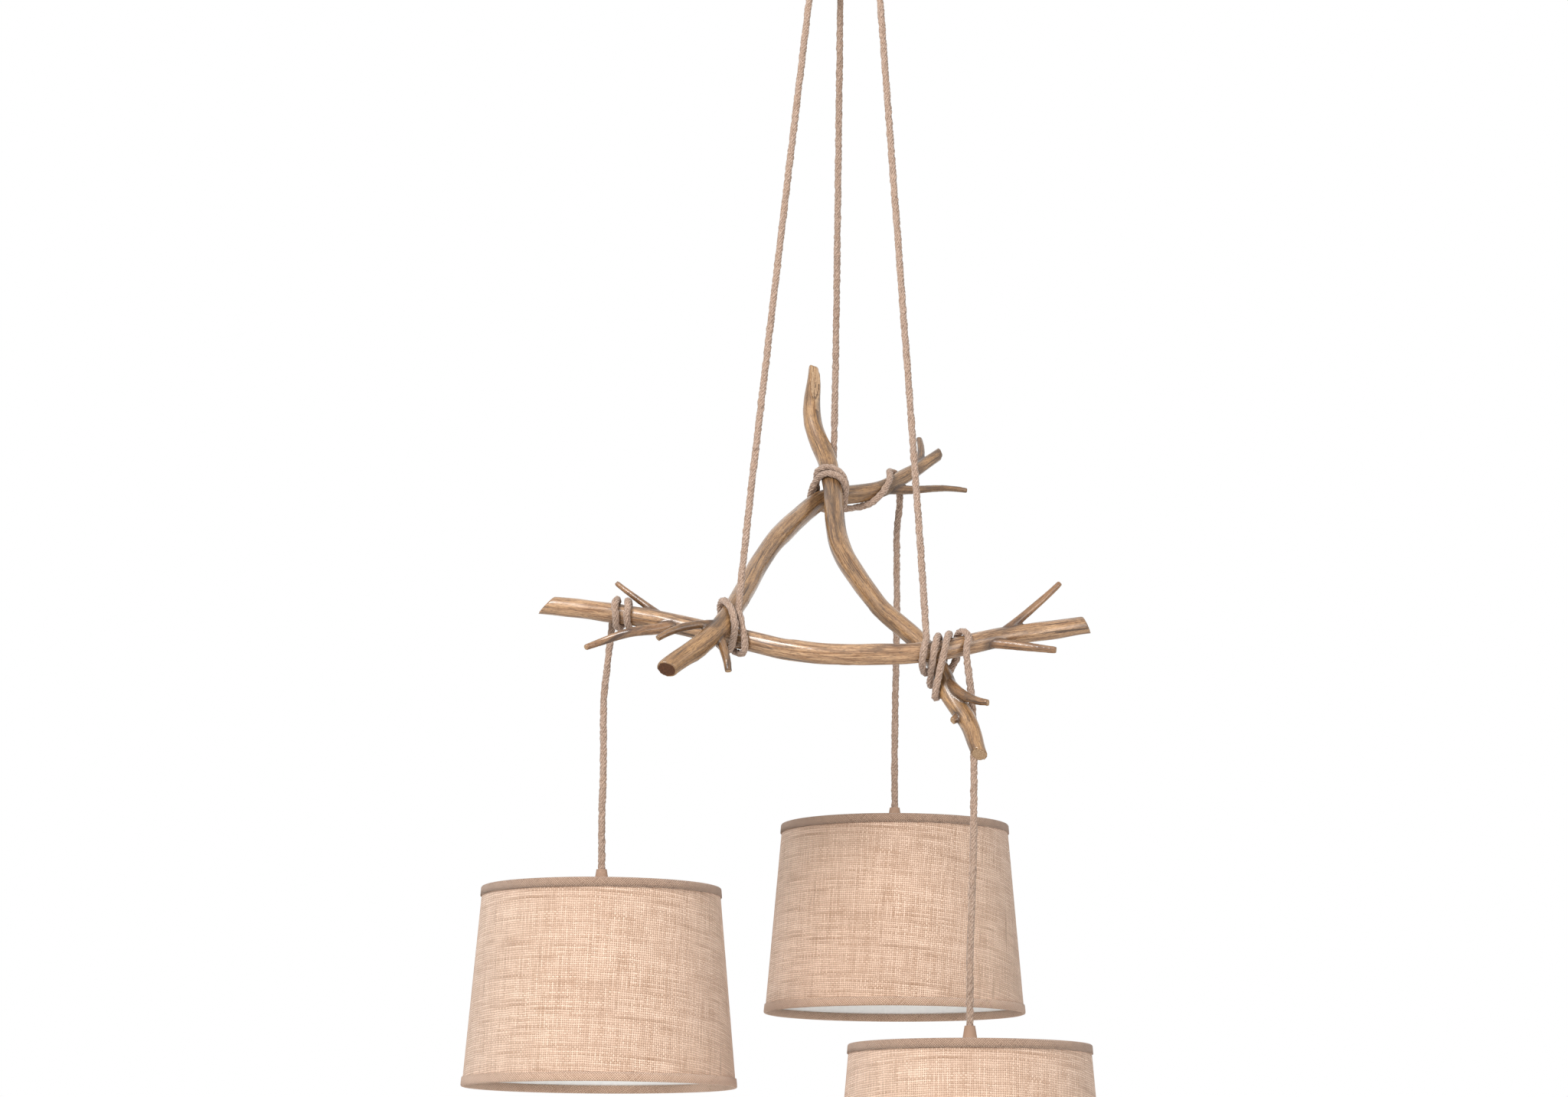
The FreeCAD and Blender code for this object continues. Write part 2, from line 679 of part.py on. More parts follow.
def spider(rim):
    """A washer on three wire arms that reach the top hem."""
    bore = holder_diameter / 2 + washer_hole_clearance
    top = washer_top()
    washer = revolved([(bore, top), (washer_diameter / 2, top), (washer_diameter / 2, top - washer_thickness),
                       (bore, top - washer_thickness)], Vector())
    start = washer_diameter / 2 - arm_root
    end = shade_wall_radius(top) - shade_wall - arm_gap
    height = top - washer_thickness / 2
    for k in range(arm_count):
        angle = math.radians(arm_first_angle) + 2 * math.pi * k / arm_count
        outward = Vector(math.cos(angle), math.sin(angle), 0)
        wire = polygon_wire(outward * start + Vector(0, 0, height), outward, Vector(0, 0, 1), arm_diameter / 2,
                            arm_sides)
        washer = washer.fuse(Part.Face(wire).extrude(outward * (end - start)))
    washer.translate(rim)
    return washer


def lampholder(rim):
    """The bulb holder: a flange on the washer, a cap above it and a hollow body below."""
    flange = holder_flange_diameter / 2
    body = holder_diameter / 2
    cap = holder_cap_diameter / 2
    bore = holder_bore / 2
    top = washer_top()
    shoulder = top + holder_flange_height
    mouth = top - holder_length
    crown = (cap * holder_cap_taper, shoulder + holder_cap_height)
    return revolved([(0, shoulder + holder_cap_height), crown, (cap, shoulder),
                     (flange, shoulder), (flange, top), (body, top), (body, mouth), (bore, mouth),
                     (bore, mouth + holder_depth), (0, mouth + holder_depth)], rim)


def ring_nut(rim):
    """The screwed ring that holds the washer up against the flange."""
    bore = holder_diameter / 2 + ring_nut_clearance
    top = washer_top() - washer_thickness
    outer = ring_nut_diameter / 2
    return revolved([(bore, top), (outer, top), (outer, top - ring_nut_height), (bore, top - ring_nut_height)], rim)


def cord_cap(rim):
    """The tapered strain relief that the cord enters."""
    base = cap_base_height()
    return revolved([(0, base), (cord_cap_base / 2, base), (cord_cap_top / 2, base + cord_cap_height),
                     (0, base + cord_cap_height)], rim)


def bulb_cap_top():
    return washer_top() - holder_length + holder_depth - bulb_cap_gap - bulb_tip_length


def bulb_cap(rim):
    """The bulb's screw shell with its contact tip."""
    top = bulb_cap_top()
    outer = bulb_cap_diameter / 2
    return revolved([(0, top + bulb_tip_length), (bulb_tip_diameter / 2, top + bulb_tip_length), (outer, top),
                     (outer, top - bulb_cap_length), (0, top - bulb_cap_length)], rim)


def bulb_glass(rim):
    """The pear-shaped bulb below its cap."""
    neck = bulb_cap_top() - bulb_cap_length
    outline = [(0, neck)]
    for radius, depth in bulb_outline_shares:
        outline.append((radius * bulb_diameter / 2, neck - depth * bulb_length))
    outline.append((0, neck - bulb_length))
    return revolved(outline, rim)


lamp_pieces = {
    "shade": shade, "spider": spider, "ring_nut": ring_nut, "lampholder": lampholder,
    "cord_cap": cord_cap, "bulb_cap": bulb_cap, "bulb_glass": bulb_glass,
}


def main():
    os.makedirs("parts", exist_ok=True)
    save(ceiling_bracket(), "ceiling_bracket")
    save(ceiling_canopy(), "ceiling_canopy")
    save(canopy_screws(), "canopy_screws")
    save(terminal_block(), "terminal_block")
    save(cord_grips(), "cord_grips")
    save(cord_stops(), "cord_stops")
    save(branch_long(), "branch_long")
    save(branch_right(), "branch_right")
    save(branch_left(), "branch_left")
    for side in lamp_places:
        save(rope(side), f"rope_{side}")
        save(drop_cord(side), f"drop_cord_{side}")
        for piece, make in lamp_pieces.items():
            save(make(lamp_rim(side)), f"{piece}_{side}")


main()
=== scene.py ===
# %% [markdown]
# # A rustic pendant light
# Three peeled branches are lashed into a triangle with thick cotton rope. The same three ropes hang the
# frame from a round ceiling cup, and their other ends carry three lamps with burlap shades.
# The CAD frame gives every place and size. This script dresses it: wood, rope, cloth, metal and glass.

# %% Load the frame
import math

import bmesh
import bpy
import numpy as np
from mathutils import Matrix, Vector, noise


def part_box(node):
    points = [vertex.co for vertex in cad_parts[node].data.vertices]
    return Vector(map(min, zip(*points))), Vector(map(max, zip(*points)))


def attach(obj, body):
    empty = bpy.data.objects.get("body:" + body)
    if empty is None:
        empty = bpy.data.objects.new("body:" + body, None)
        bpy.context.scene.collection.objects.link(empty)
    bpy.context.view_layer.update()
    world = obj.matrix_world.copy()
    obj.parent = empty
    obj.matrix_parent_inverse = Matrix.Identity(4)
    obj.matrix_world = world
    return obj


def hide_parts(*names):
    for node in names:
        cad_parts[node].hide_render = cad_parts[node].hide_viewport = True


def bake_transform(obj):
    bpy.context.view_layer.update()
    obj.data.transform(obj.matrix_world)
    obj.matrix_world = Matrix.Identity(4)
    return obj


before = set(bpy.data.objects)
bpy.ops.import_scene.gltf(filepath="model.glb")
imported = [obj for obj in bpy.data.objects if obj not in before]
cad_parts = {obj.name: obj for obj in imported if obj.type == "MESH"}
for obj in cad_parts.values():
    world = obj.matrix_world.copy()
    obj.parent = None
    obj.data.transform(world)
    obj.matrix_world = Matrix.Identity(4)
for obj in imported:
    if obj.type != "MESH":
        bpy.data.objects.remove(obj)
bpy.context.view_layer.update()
MM = 0.001
sides = ("left", "right", "back")


def add_object(name, data):
    """An object at the origin that shows in the scene."""
    made = bpy.data.objects.new(name, data)
    bpy.context.scene.collection.objects.link(made)
    return made


# %% [markdown]
# The photograph was taken from almost five metres away with a long lens, a little below the shades and
# tilted up. A long lens keeps the three shades nearly the same shape. The camera comes first, because
# everything else is judged through it.

# %% The camera
camera_place = (-0.065, -4.790, -1.525)
camera_tilt = math.radians(99.72)
camera_roll = math.radians(0.3)

camera_data = bpy.data.cameras.new("studio_camera")
camera_data.lens = 99.42
camera_data.sensor_width = 36.0
camera_data.clip_end = 50.0
camera = add_object("studio_camera", camera_data)
turned = Matrix.Rotation(camera_tilt, 4, "X") @ Matrix.Rotation(camera_roll, 4, "Z")
camera.matrix_world = Matrix.Translation(camera_place) @ turned
bpy.context.scene.camera = camera
print("camera at", tuple(round(value, 3) for value in camera.matrix_world.translation))

# %% [markdown]
# The ropes follow the branches, so the branches' centrelines are needed twice: to lay the rope round
# them, and to run the wood's grain along them. Each branch is a short table of rows. A row is a place in
# the frame's own tilted plane, as a share of its span, with a lift out of the plane in half stacks and a
# thickness as a share of the usual one. A cubic curve through the rows gives a smooth line. It could be
# a Blender curve, but the same sums as the CAD part keep rope, grain and solid on one line.

# %% The branches' tables
frame_span = 600.0
frame_drop = 742.0
frame_aside = -11.0
frame_back = -25.0
frame_tip = 44.4
frame_roll = 5.4
stem_radius = 11.0
half_stack = 11.65

long_stem = [
    (-0.548, -0.099, -2.27, 0.93), (-0.525, -0.104, -2.10, 0.94), (-0.403, -0.122, -1.69, 0.98),
    (-0.290, -0.150, -1.33, 1.00), (-0.195, -0.182, -1.00, 1.00), (-0.053, -0.233, -0.27, 1.05),
    (0.085, -0.243, 0.53, 1.06), (0.195, -0.227, 1.00, 1.00), (0.293, -0.187, 1.33, 1.00),
    (0.378, -0.160, 1.60, 0.96), (0.465, -0.135, 1.87, 0.90), (0.487, -0.129, 1.92, 0.88),
]
right_stem = [
    (0.274, -0.452, -2.98, 0.72), (0.268, -0.433, -2.84, 0.76), (0.247, -0.345, -2.40, 0.94),
    (0.215, -0.283, -1.78, 1.04), (0.195, -0.227, -1.00, 1.00), (0.090, -0.067, -0.53, 0.98),
    (0.053, 0.002, -0.18, 1.02), (0.018, 0.087, 0.18, 1.08), (0.002, 0.250, 0.84, 1.00),
    (-0.002, 0.293, 1.00, 1.00), (-0.012, 0.357, 1.42, 1.03), (-0.042, 0.445, 2.93, 0.96),
    (-0.043, 0.525, 4.98, 0.78), (-0.043, 0.558, 5.70, 0.66), (-0.043, 0.570, 5.95, 0.60),
]
left_stem = [
    (-0.312, -0.360, 0.36, 0.98), (-0.302, -0.340, 0.44, 1.00), (-0.255, -0.285, 0.80, 1.04),
    (-0.195, -0.182, 1.00, 1.00), (-0.122, 0.062, 0.33, 0.98), (-0.098, 0.122, 0.09, 1.06),
    (-0.045, 0.235, -0.53, 1.00), (-0.007, 0.293, -1.00, 1.00), (0.065, 0.336, -1.50, 0.95),
    (0.105, 0.364, -1.66, 0.90), (0.137, 0.401, -1.78, 0.84), (0.187, 0.465, -1.91, 0.66),
    (0.219, 0.510, -1.96, 0.60), (0.229, 0.525, -1.97, 0.58),
]
long_twigs = {
    "upper_left": [(-0.296, -0.150, -1.30, 0.54), (-0.322, -0.128, -1.05, 0.39),
                   (-0.360, -0.097, -0.75, 0.34), (-0.400, -0.060, -0.45, 0.28)],
    "lower_left": [(-0.290, -0.158, -1.25, 0.66), (-0.326, -0.178, -1.15, 0.55),
                   (-0.361, -0.188, -1.20, 0.49), (-0.400, -0.194, -1.89, 0.43),
                   (-0.449, -0.216, -2.50, 0.30)],
    "upper_right": [(0.298, -0.186, 1.40, 0.58), (0.326, -0.163, 2.20, 0.45), (0.359, -0.134, 3.10, 0.40),
                    (0.411, -0.085, 4.70, 0.30)],
    "lower_right": [(0.262, -0.196, 1.15, 0.56), (0.298, -0.205, 1.45, 0.50), (0.345, -0.219, 1.90, 0.45),
                    (0.403, -0.236, 2.40, 0.34)],
}
right_twigs = {
    "outer": [(0.205, -0.255, -1.45, 0.78), (0.222, -0.287, -1.10, 0.62), (0.246, -0.322, -0.65, 0.48),
              (0.280, -0.352, 0.09, 0.32)],
    "stub": [(0.238, -0.325, -2.20, 0.54), (0.229, -0.342, -2.28, 0.45), (0.219, -0.353, -2.35, 0.36)],
}
left_twigs = {
    "outer": [(-0.205, -0.205, 0.90, 0.56), (-0.232, -0.220, 1.50, 0.46), (-0.270, -0.240, 1.80, 0.42),
              (-0.322, -0.273, 1.33, 0.33)],
    "down": [(-0.215, -0.215, 0.85, 0.60), (-0.207, -0.240, 0.68, 0.48), (-0.198, -0.270, 0.42, 0.43),
             (-0.189, -0.313, -0.27, 0.36)],
    "up": [(0.166, 0.436, -1.87, 0.54), (0.176, 0.463, -1.87, 0.44), (0.182, 0.501, -1.87, 0.41),
           (0.179, 0.556, -1.87, 0.34)],
    "far": [(0.095, 0.356, -1.62, 0.62), (0.118, 0.367, -1.88, 0.52), (0.150, 0.382, -2.30, 0.48),
            (0.205, 0.418, -3.10, 0.38), (0.277, 0.448, -4.00, 0.27)],
}
print("branches:", len(long_stem), len(right_stem), len(left_stem), "rows")

# %% Smooth lines through the tables
sampling = 3000
heading_reach = 0.01


def stem_point(row):
    return Vector((row[0] * frame_span, row[1] * frame_span, row[2] * half_stack))


def marks_along(places):
    """The distance along a line at each of its places, from 0."""
    return np.concatenate([[0], np.cumsum(np.linalg.norm(np.diff(places, axis=0), axis=1))])


def smooth_line(rows, station):
    """Even stations along the curve through the rows: place, heading and radius at each."""
    points = np.array([stem_point(row) for row in rows])
    radii = np.array([row[3] * stem_radius for row in rows])
    marks = marks_along(points)
    chords = np.diff(marks)
    slopes = np.zeros_like(points)
    matrix = np.eye(len(points))
    degree = min(3, len(points) - 1)
    for end, near in ((0, slice(0, degree + 1)), (-1, slice(-degree - 1, None))):
        fits = [np.polyfit(marks[near] - marks[end], points[near, axis], degree) for axis in range(3)]
        slopes[end] = [fit[-2] for fit in fits]
    for k in range(1, len(points) - 1):
        before, after = chords[k - 1], chords[k]
        rise, next_rise = points[k] - points[k - 1], points[k + 1] - points[k]
        matrix[k, k - 1:k + 2] = after, 2 * (before + after), before
        slopes[k] = 3 * (after * rise / before + before * next_rise / after)
    slopes = np.linalg.solve(matrix, slopes)

    def at(mark):
        k = np.clip(np.searchsorted(marks, mark, side="right") - 1, 0, len(chords) - 1)
        span = chords[k][:, None]
        t = (mark - marks[k])[:, None] / span
        return ((2 * t ** 3 - 3 * t ** 2 + 1) * points[k] + (t ** 3 - 2 * t ** 2 + t) * span * slopes[k]
                + (3 * t ** 2 - 2 * t ** 3) * points[k + 1] + (t ** 3 - t ** 2) * span * slopes[k + 1])

    fine = np.linspace(0, marks[-1], sampling)
    along = marks_along(at(fine))
    count = int(along[-1] / station) + 1
    even = np.interp(np.linspace(0, along[-1], count + 1), along, fine)
    headings = at(np.minimum(even + heading_reach, marks[-1])) - at(np.maximum(even - heading_reach, 0))
    headings /= np.linalg.norm(headings, axis=1)[:, None]
    return [(Vector(p), Vector(h), r) for p, h, r in zip(at(even), headings, np.interp(even, marks, radii))]


frame_turn = (Matrix.Rotation(math.radians(frame_tip), 4, "X")
              @ Matrix.Rotation(math.radians(frame_roll), 4, "Y"))
frame_place = Matrix.Translation((frame_aside, frame_back, -frame_drop)) @ frame_turn


def in_frame(point):
    """A place in the frame's plane, as a place in the room, still in millimetres."""
    return frame_place @ point


lash_station = 4.0
stems = (long_stem, right_stem, left_stem)
long_line, right_line, left_line = (smooth_line(stem, lash_station) for stem in stems)
print("branch lines:", len(long_line), len(right_line), len(left_line), "stations")

# %% [markdown]
# A lashing is a rope wound round two crossed poles. Its route is a list of corners: over the front pole,
# down one side, behind the back pole and up the other side, eight corners to a turn. A smooth spline
# with these corners as its control points rounds them all by itself, so nothing else is needed.

# %% Corners of the lashings
rope_diameter = 8.0
rope_clearance = 0.5
lashings = {
    "left": {"across": (0.426, -0.905), "offset": 12.0, "pitch": -10.2, "corners": range(1, 15)},
    "right": {"across": (-0.3, -0.954), "offset": -16.5, "pitch": 10.2, "corners": range(0, 23)},
    "back": {"across": (0.97, -0.24), "offset": -5.5, "pitch": -10.2, "corners": range(3, -13, -1)},
}
single_turns = {
    "left": {"start": (-219, -80), "stop": (-242, -73), "first": 247.5, "step": -45, "count": 15},
    "right": {"start": (140, -126.5), "stop": (143.6, -125.1), "first": -67.5, "step": 45, "count": 5},
    "back": {"start": (33, 198), "stop": (80, 238), "first": 247.5, "step": -45, "count": 6},
}
left_link = [((-160, -95), 342, 1.12), ((-176, -91), 315, 1.10), ((-203, -85), 270, 1.20)]
back_hook = ((93, 255), -22.5, 1.08)
back_nook = [(4, 223, 0), (0.5, 207, -20), (1, 196, -43), (6, 161, -43)]


def wrap_radius(radius):
    """How far a strand's centre stands from the line of the stem that it lies on."""
    return radius + rope_diameter / 2 + rope_clearance


def square_to(heading, towards):
    """The direction in the frame's plane that is square to a heading, on one side of it."""
    square = Vector((-heading.y, heading.x, 0)).normalized()
    return square if square.dot(towards) >= 0 else -square


def crossing_place(line, middle, across, beside, shift, aside_share):
    """Where a strand square to beside passes at a share of the lashing's radius from a stem's line."""
    trail = []
    for point, heading, radius in line:
        wrap = wrap_radius(radius)
        trail.append((point + square_to(heading, across) * (wrap * aside_share), wrap))
    places = []
    for (point, wrap), (after, _) in zip(trail, trail[1:]):
        start = (point - middle).dot(beside) - shift
        end = (after - middle).dot(beside) - shift
        if start * end <= 0 and start != end:
            place = point + (after - point) * (start / (start - end))
            slide = (place - middle).dot(across)
            places.append((abs(slide), slide, place.z, wrap))
    return min(places)[1:]


def crossing_corners(name, middle, over, under):
    """Corners of turns round two crossed stems, eight to a turn, with one more on each side that keeps
    the strand clear of whichever stem stands further out."""
    lashing = lashings[name]
    across = Vector((*lashing["across"], 0))
    beside = Vector((-across.y, across.x, 0))
    steps = list(lashing["corners"])
    low = math.tan(math.pi / 8)

    def corner(step, in_front, side, aside_share, level):
        shift = lashing["offset"] + lashing["pitch"] * step / 8
        stem = over if in_front else under
        slide, height, wrap = crossing_place(stem, middle, across, beside, shift, side * aside_share)
        lift = height + wrap * level * (1 if in_front else -1)
        return slide, Vector((middle.x, middle.y, lift)) + across * slide + beside * shift

    corners = []
    for k, following in zip(steps, steps[1:] + [None]):
        in_front = k % 8 in (0, 1, 2, 7)
        side = 1 if k % 8 in (1, 2, 3, 4) else -1
        on_face = k % 8 in (0, 1, 4, 5)
        place, point = corner(k, in_front, side, low if on_face else 1, 1 if on_face else low)
        corners.append(point)
        if following is not None and (k % 8, following % 8) in ((2, 3), (3, 2), (6, 7), (7, 6)):
            next_place, _ = corner(following, not in_front, side, 1, low)
            if (place - next_place) * side > rope_clearance:
                corners.append(corner(k + (following - k) / 3, in_front, side, 1, -low)[1])
            elif (next_place - place) * side > rope_clearance:
                corners.append(corner(k + (following - k) * 2 / 3, not in_front, side, 1, -low)[1])
    return corners


def stem_side(line, near, angle, stand_off):
    """A corner beside a stem. An angle of 90 degrees is in front of the stem, 0 is on its upper side."""
    point, heading, radius = min(line, key=lambda place: (place[0].xy - Vector(near)).length)
    upper = square_to(heading, Vector((0, 1, 0)))
    front = upper.cross(heading)
    if front.z < 0:
        front = -front
    turned = math.radians(angle)
    return point + (upper * math.cos(turned) + front * math.sin(turned)) * (wrap_radius(radius) * stand_off)


def stem_wrap(line, start, stop, first, step, count):
    """Corners of turns round one stem, from beside one flat place to beside another."""
    corners = []
    for k in range(count):
        near = Vector(start).lerp(Vector(stop), k / (count - 1))
        corners.append(stem_side(line, near, first + step * k, 1 / math.cos(math.pi / 8)))
    return corners


turns = {
    "left": (crossing_corners("left", stem_point(left_stem[3]), left_line, long_line)
             + [stem_side(long_line, *corner) for corner in left_link]
             + stem_wrap(long_line, **single_turns["left"])),
    "right": (crossing_corners("right", stem_point(right_stem[4]), long_line, right_line)
              + stem_wrap(long_line, **single_turns["right"])),
    "back": ([Vector(corner) for corner in back_nook]
             + crossing_corners("back", stem_point(right_stem[9]), right_line, left_line)
             + stem_wrap(left_line, **single_turns["back"]) + [stem_side(left_line, *back_hook)]),
}
print("corners of the lashings:", {side: len(corners) for side, corners in turns.items()})

# %% [markdown]
# Each rope starts inside the ceiling cup, comes down to its lashing, and leaves the branch to hang with a
# lamp on it. One point below the grip keeps the long run straight where it comes out. The hanging end
# carries on down into the lamp's cord cap, so one spline takes it all the way. `order_u` and
# `use_endpoint_u` are set after the points, because set before they don't hold.

# %% The ropes' routes
cord_circle_radius = 44.0
cord_angles = {"back": 94, "left": 214, "right": 334}
rope_top_height = -12.8
below_grip_height = -45.5
straight_lead = 6 * rope_diameter
rope_tails = {
    "left": [(-256.5, 0.0, -78.0), (-258.6, 0.0, -103.0), (-262.6, 0.0, -138.0), (-262.6, 0.0, -154.0)],
    "right": [(132.8, -0.8, -95.0), (138.6, 2.8, -135.0), (142.5, 4.4, -188.0), (142.0, 4.4, -210.0),
              (142.0, 4.4, -226.0)],
    "back": [(70.4, 0.0, 128.0), (68.5, 0.0, 108.0), (66.5, 0.0, 93.0), (66.5, 0.0, 77.0)],
}
# The free run's bends: the share of its lean, two small offsets, and the share of its drop.
hanging_bends = [(0.3, 0.8, 0.6, 0.36), (0.8, -0.6, -0.5, 0.70)]
cap_lead = 2 * rope_diameter
cap_overlap = 1.5


def up(height):
    return Vector((0, 0, height))


def rope_route(side):
    """The control points of one rope in metres, from the ceiling cup to the lamp, and its pivot."""
    angle = math.radians(cord_angles[side])
    hole = Vector((cord_circle_radius * math.cos(angle), cord_circle_radius * math.sin(angle), 0))
    points = [hole + up(rope_top_height), hole + up(below_grip_height)]
    corners = [in_frame(corner) for corner in turns[side]]
    points.append(points[-1] + (corners[0] - points[-1]).normalized() * straight_lead)
    points += corners
    hang = points[-1].y
    for aside, behind, height in rope_tails[side]:
        points.append(Vector((aside, hang + behind, height - frame_drop)))
    pivot = points[-1]
    low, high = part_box(f"cord_cap_{side}")
    end = (Vector(low) + Vector(high)) / (2 * MM)
    end.z = high[2] / MM
    drop, lean = pivot.z - end.z, end.x - pivot.x
    points.append(pivot - up(cap_lead))
    for lean_share, aside, behind, drop_share in hanging_bends:
        points.append(pivot + Vector((lean * lean_share + aside, behind, -drop * drop_share)))
    points += [end + up(cap_lead), end - up(cap_overlap)]
    return [point * MM for point in points], pivot * MM


def line_length(line):
    return float(marks_along(line)[-1])


def new_curve(name):
    data = bpy.data.curves.new(name, "CURVE")
    data.dimensions = "3D"
    return data


def curve_mesh(name, data):
    """The mesh that a curve makes. The curve and its object go."""
    mesh = bpy.data.meshes.new_from_object(bpy.data.objects.new(name, data))
    bpy.data.curves.remove(data)
    return mesh


def spline_line(name, points):
    """Points read along a smooth spline with these control points."""
    data = new_curve(name)
    data.resolution_u = 12
    spline = data.splines.new("NURBS")
    spline.points.add(len(points) - 1)
    for knot, point in zip(spline.points, points):
        knot.co = (*point, 1)
    spline.order_u = 3
    spline.use_endpoint_u = True
    mesh = curve_mesh(name, data)
    line = np.array([vertex.co[:] for vertex in mesh.vertices])
    bpy.data.meshes.remove(mesh)
    return line


rope_lines, rope_pivots = {}, {}
for side in sides:
    route, rope_pivots[side] = rope_route(side)
    rope_lines[side] = spline_line(f"route_{side}", route)
    print(f"rope {side}: {len(route)} control points, {line_length(rope_lines[side]):.3f} m")

# %% [markdown]
# Materials share a few effects, and each effect is a node group that is built once. `Wiring` keeps the
# node code short: `feed` gives a socket either a link or a plain value, where a colour is written as a
# screen shows it, and every other call adds one node and returns what comes out of it.

# %% Helpers for nodes
def linear(red, green, blue):
    """A colour as a screen shows it, 0 to 255, as the linear values that Blender's sockets take."""
    return tuple(((c / 255 + 0.055) / 1.055) ** 2.4 for c in (red, green, blue)) + (1.0,)


class Wiring:
    """A node tree with short calls for the nodes that this object's finishes need."""

    def __init__(self, tree):
        self.tree = tree

    def feed(self, socket, value):
        if isinstance(value, bpy.types.NodeSocket):
            self.tree.links.new(value, socket)
        else:
            socket.default_value = linear(*value) if socket.type == "RGBA" and len(value) == 3 else value

    def add(self, kind, inputs=(), output=0, **settings):
        """Inputs are values for the first sockets, or a dictionary of sockets and values."""
        node = self.tree.nodes.new(f"ShaderNode{kind}")
        for title, value in settings.items():
            setattr(node, title, value)
        for socket, value in (inputs if isinstance(inputs, dict) else dict(enumerate(inputs))).items():
            self.feed(node.inputs[socket], value)
        return node.outputs if output is None else node.outputs[output]

    def calc(self, operation, *values):
        return self.add("Math", values, operation=operation)

    def times(self, first, second):
        return self.calc("MULTIPLY", first, second)

    def plus(self, first, second):
        return self.calc("ADD", first, second)

    def split(self, vector):
        return self.add("SeparateXYZ", [vector], None)

    def cloudy(self, vector, scale, detail=3.0, roughness=0.55, distortion=0.0):
        """Noise. Three scales instead of one stretch it."""
        if isinstance(scale, tuple):
            vector, scale = self.add("VectorMath", [vector, scale], operation="MULTIPLY"), 1.0
        return self.add("TexNoise", {"Vector": vector, "Scale": scale, "Detail": detail,
                                     "Roughness": roughness, "Distortion": distortion}, "Fac")

    def ranged(self, value, low, high, to_low=0.0, to_high=1.0):
        return self.add("MapRange", (value, low, high, to_low, to_high))

    def mixed(self, share, first, second):
        return self.add("Mix", {0: share, 6: first, 7: second}, 2, data_type="RGBA")

    def layered(self, tone, *layers):
        """A tone with others over it. A layer is a mask, its strength and its tone."""
        for mask, strength, over in layers:
            tone = self.mixed(self.times(mask, strength), tone, over)
        return tone

    def attribute(self, name, output="Vector"):
        return self.add("Attribute", (), output, attribute_name=name)

    def object_point(self):
        return self.add("TexCoord", (), "Object")

    def effect(self, group, **values):
        """Places a group, and returns its outputs."""
        return self.add("Group", values, None, node_tree=group.tree)

    def surface(self, shader, tone, height, distance, strength=1.0):
        """A shader's colour, and the relief that catches the light on it."""
        self.feed(shader["Base Color"], tone)
        relief = self.add("Bump", {"Height": height, "Distance": distance, "Strength": strength})
        self.feed(shader["Normal"], relief)


def new_group(name, inputs, outputs):
    """A shader group with named sockets. Returns its wiring and its inner ends."""
    tree = bpy.data.node_groups.new(name, "ShaderNodeTree")
    for sockets, in_out in ((inputs, "INPUT"), (outputs, "OUTPUT")):
        for title, kind in sockets.items():
            tree.interface.new_socket(title, in_out=in_out, socket_type=f"NodeSocket{kind}")
    return Wiring(tree), tree.nodes.new("NodeGroupInput").outputs, tree.nodes.new("NodeGroupOutput").inputs


def new_material(name, **plain):
    """A Principled material, its wiring and its shader's sockets. Plain values go straight to those."""
    material = bpy.data.materials.new(name)
    material.use_nodes = True
    shader = material.node_tree.nodes["Principled BSDF"].inputs
    for title, value in plain.items():
        shader[title.replace("_", " ").title().replace("Ior", "IOR")].default_value = value
    return material, Wiring(material.node_tree), shader


print("node helpers ready")

# %% [markdown]
# Peeled wood shows its grain as long streaks with darker and paler stretches. Noise that is stretched along
# the branch gives that, and the stretching needs a coordinate that follows the branch: each branch carries
# an attribute named `grain`, with the distance along it and two offsets from its centre, all in metres. A
# second attribute is 1 deep in a fork, and there the wood is painted darker: painted shade in the crease.

# %% Group: wood grain
line_spacing = 0.8
twigs_from = 0.75

wood, given, out = new_group(
    "wood_grain",
    {"Point": "Vector", "Pale": "Color", "Brown": "Color", "Dark": "Color",
     "Darkness": "Float", "Crease": "Float"},
    {"Color": "Color", "Height": "Float", "Roughness": "Float"})
streaks = wood.cloudy(given["Point"], (24, 560, 560), 5.0, 0.66, 0.6)
lines = wood.cloudy(given["Point"], (190, 1500, 1500), 3.0, 0.6, 0.3)
patches = wood.cloudy(given["Point"], (13, 62, 62), 4.0, 0.62, 0.8)
cracks = wood.cloudy(given["Point"], (12, 400, 400), 2.0, 0.4, 0.5)
crack = wood.ranged(cracks, 0.65, 0.70)
on_twig = wood.calc("GREATER_THAN", wood.split(given["Point"])[0], twigs_from)
darkness = wood.calc("MULTIPLY_ADD", on_twig, 0.2, given["Darkness"])
base = wood.mixed(wood.ranged(streaks, 0.34, 0.64), given["Brown"], given["Pale"])
base = wood.layered(base, (on_twig, 0.5, given["Brown"]),
                    (wood.ranged(lines, 0.50, 0.64), 0.6, given["Dark"]),
                    (wood.ranged(patches, 0.50, 0.68), darkness, given["Dark"]),
                    # painted shade: the wood is darkened deep in a fork, where the crease mask reaches 1
                    (given["Crease"], wood.ranged(streaks, 0.3, 0.7, 1.0, 0.6), given["Dark"]),
                    (crack, 0.8, given["Dark"]))
relief = wood.plus(wood.times(streaks, 0.6), wood.times(lines, 0.4))
wood.feed(out["Color"], base)
wood.feed(out["Height"], wood.calc("SUBTRACT", relief, wood.times(crack, 0.8)))
wood.feed(out["Roughness"], wood.ranged(patches, 0.3, 0.7, 0.34, 0.6))
print("group wood_grain:", len(wood.tree.nodes), "nodes")

# %% [markdown]
# Burlap is a plain weave: each thread goes over one and under the next. Two sine waves make the threads, and
# the sign of one wave decides which thread is on top. Slow noise bends the threads and makes some of them
# thick or loose, because jute yarn is never even. The hem tape is the same weave, finer and turned.

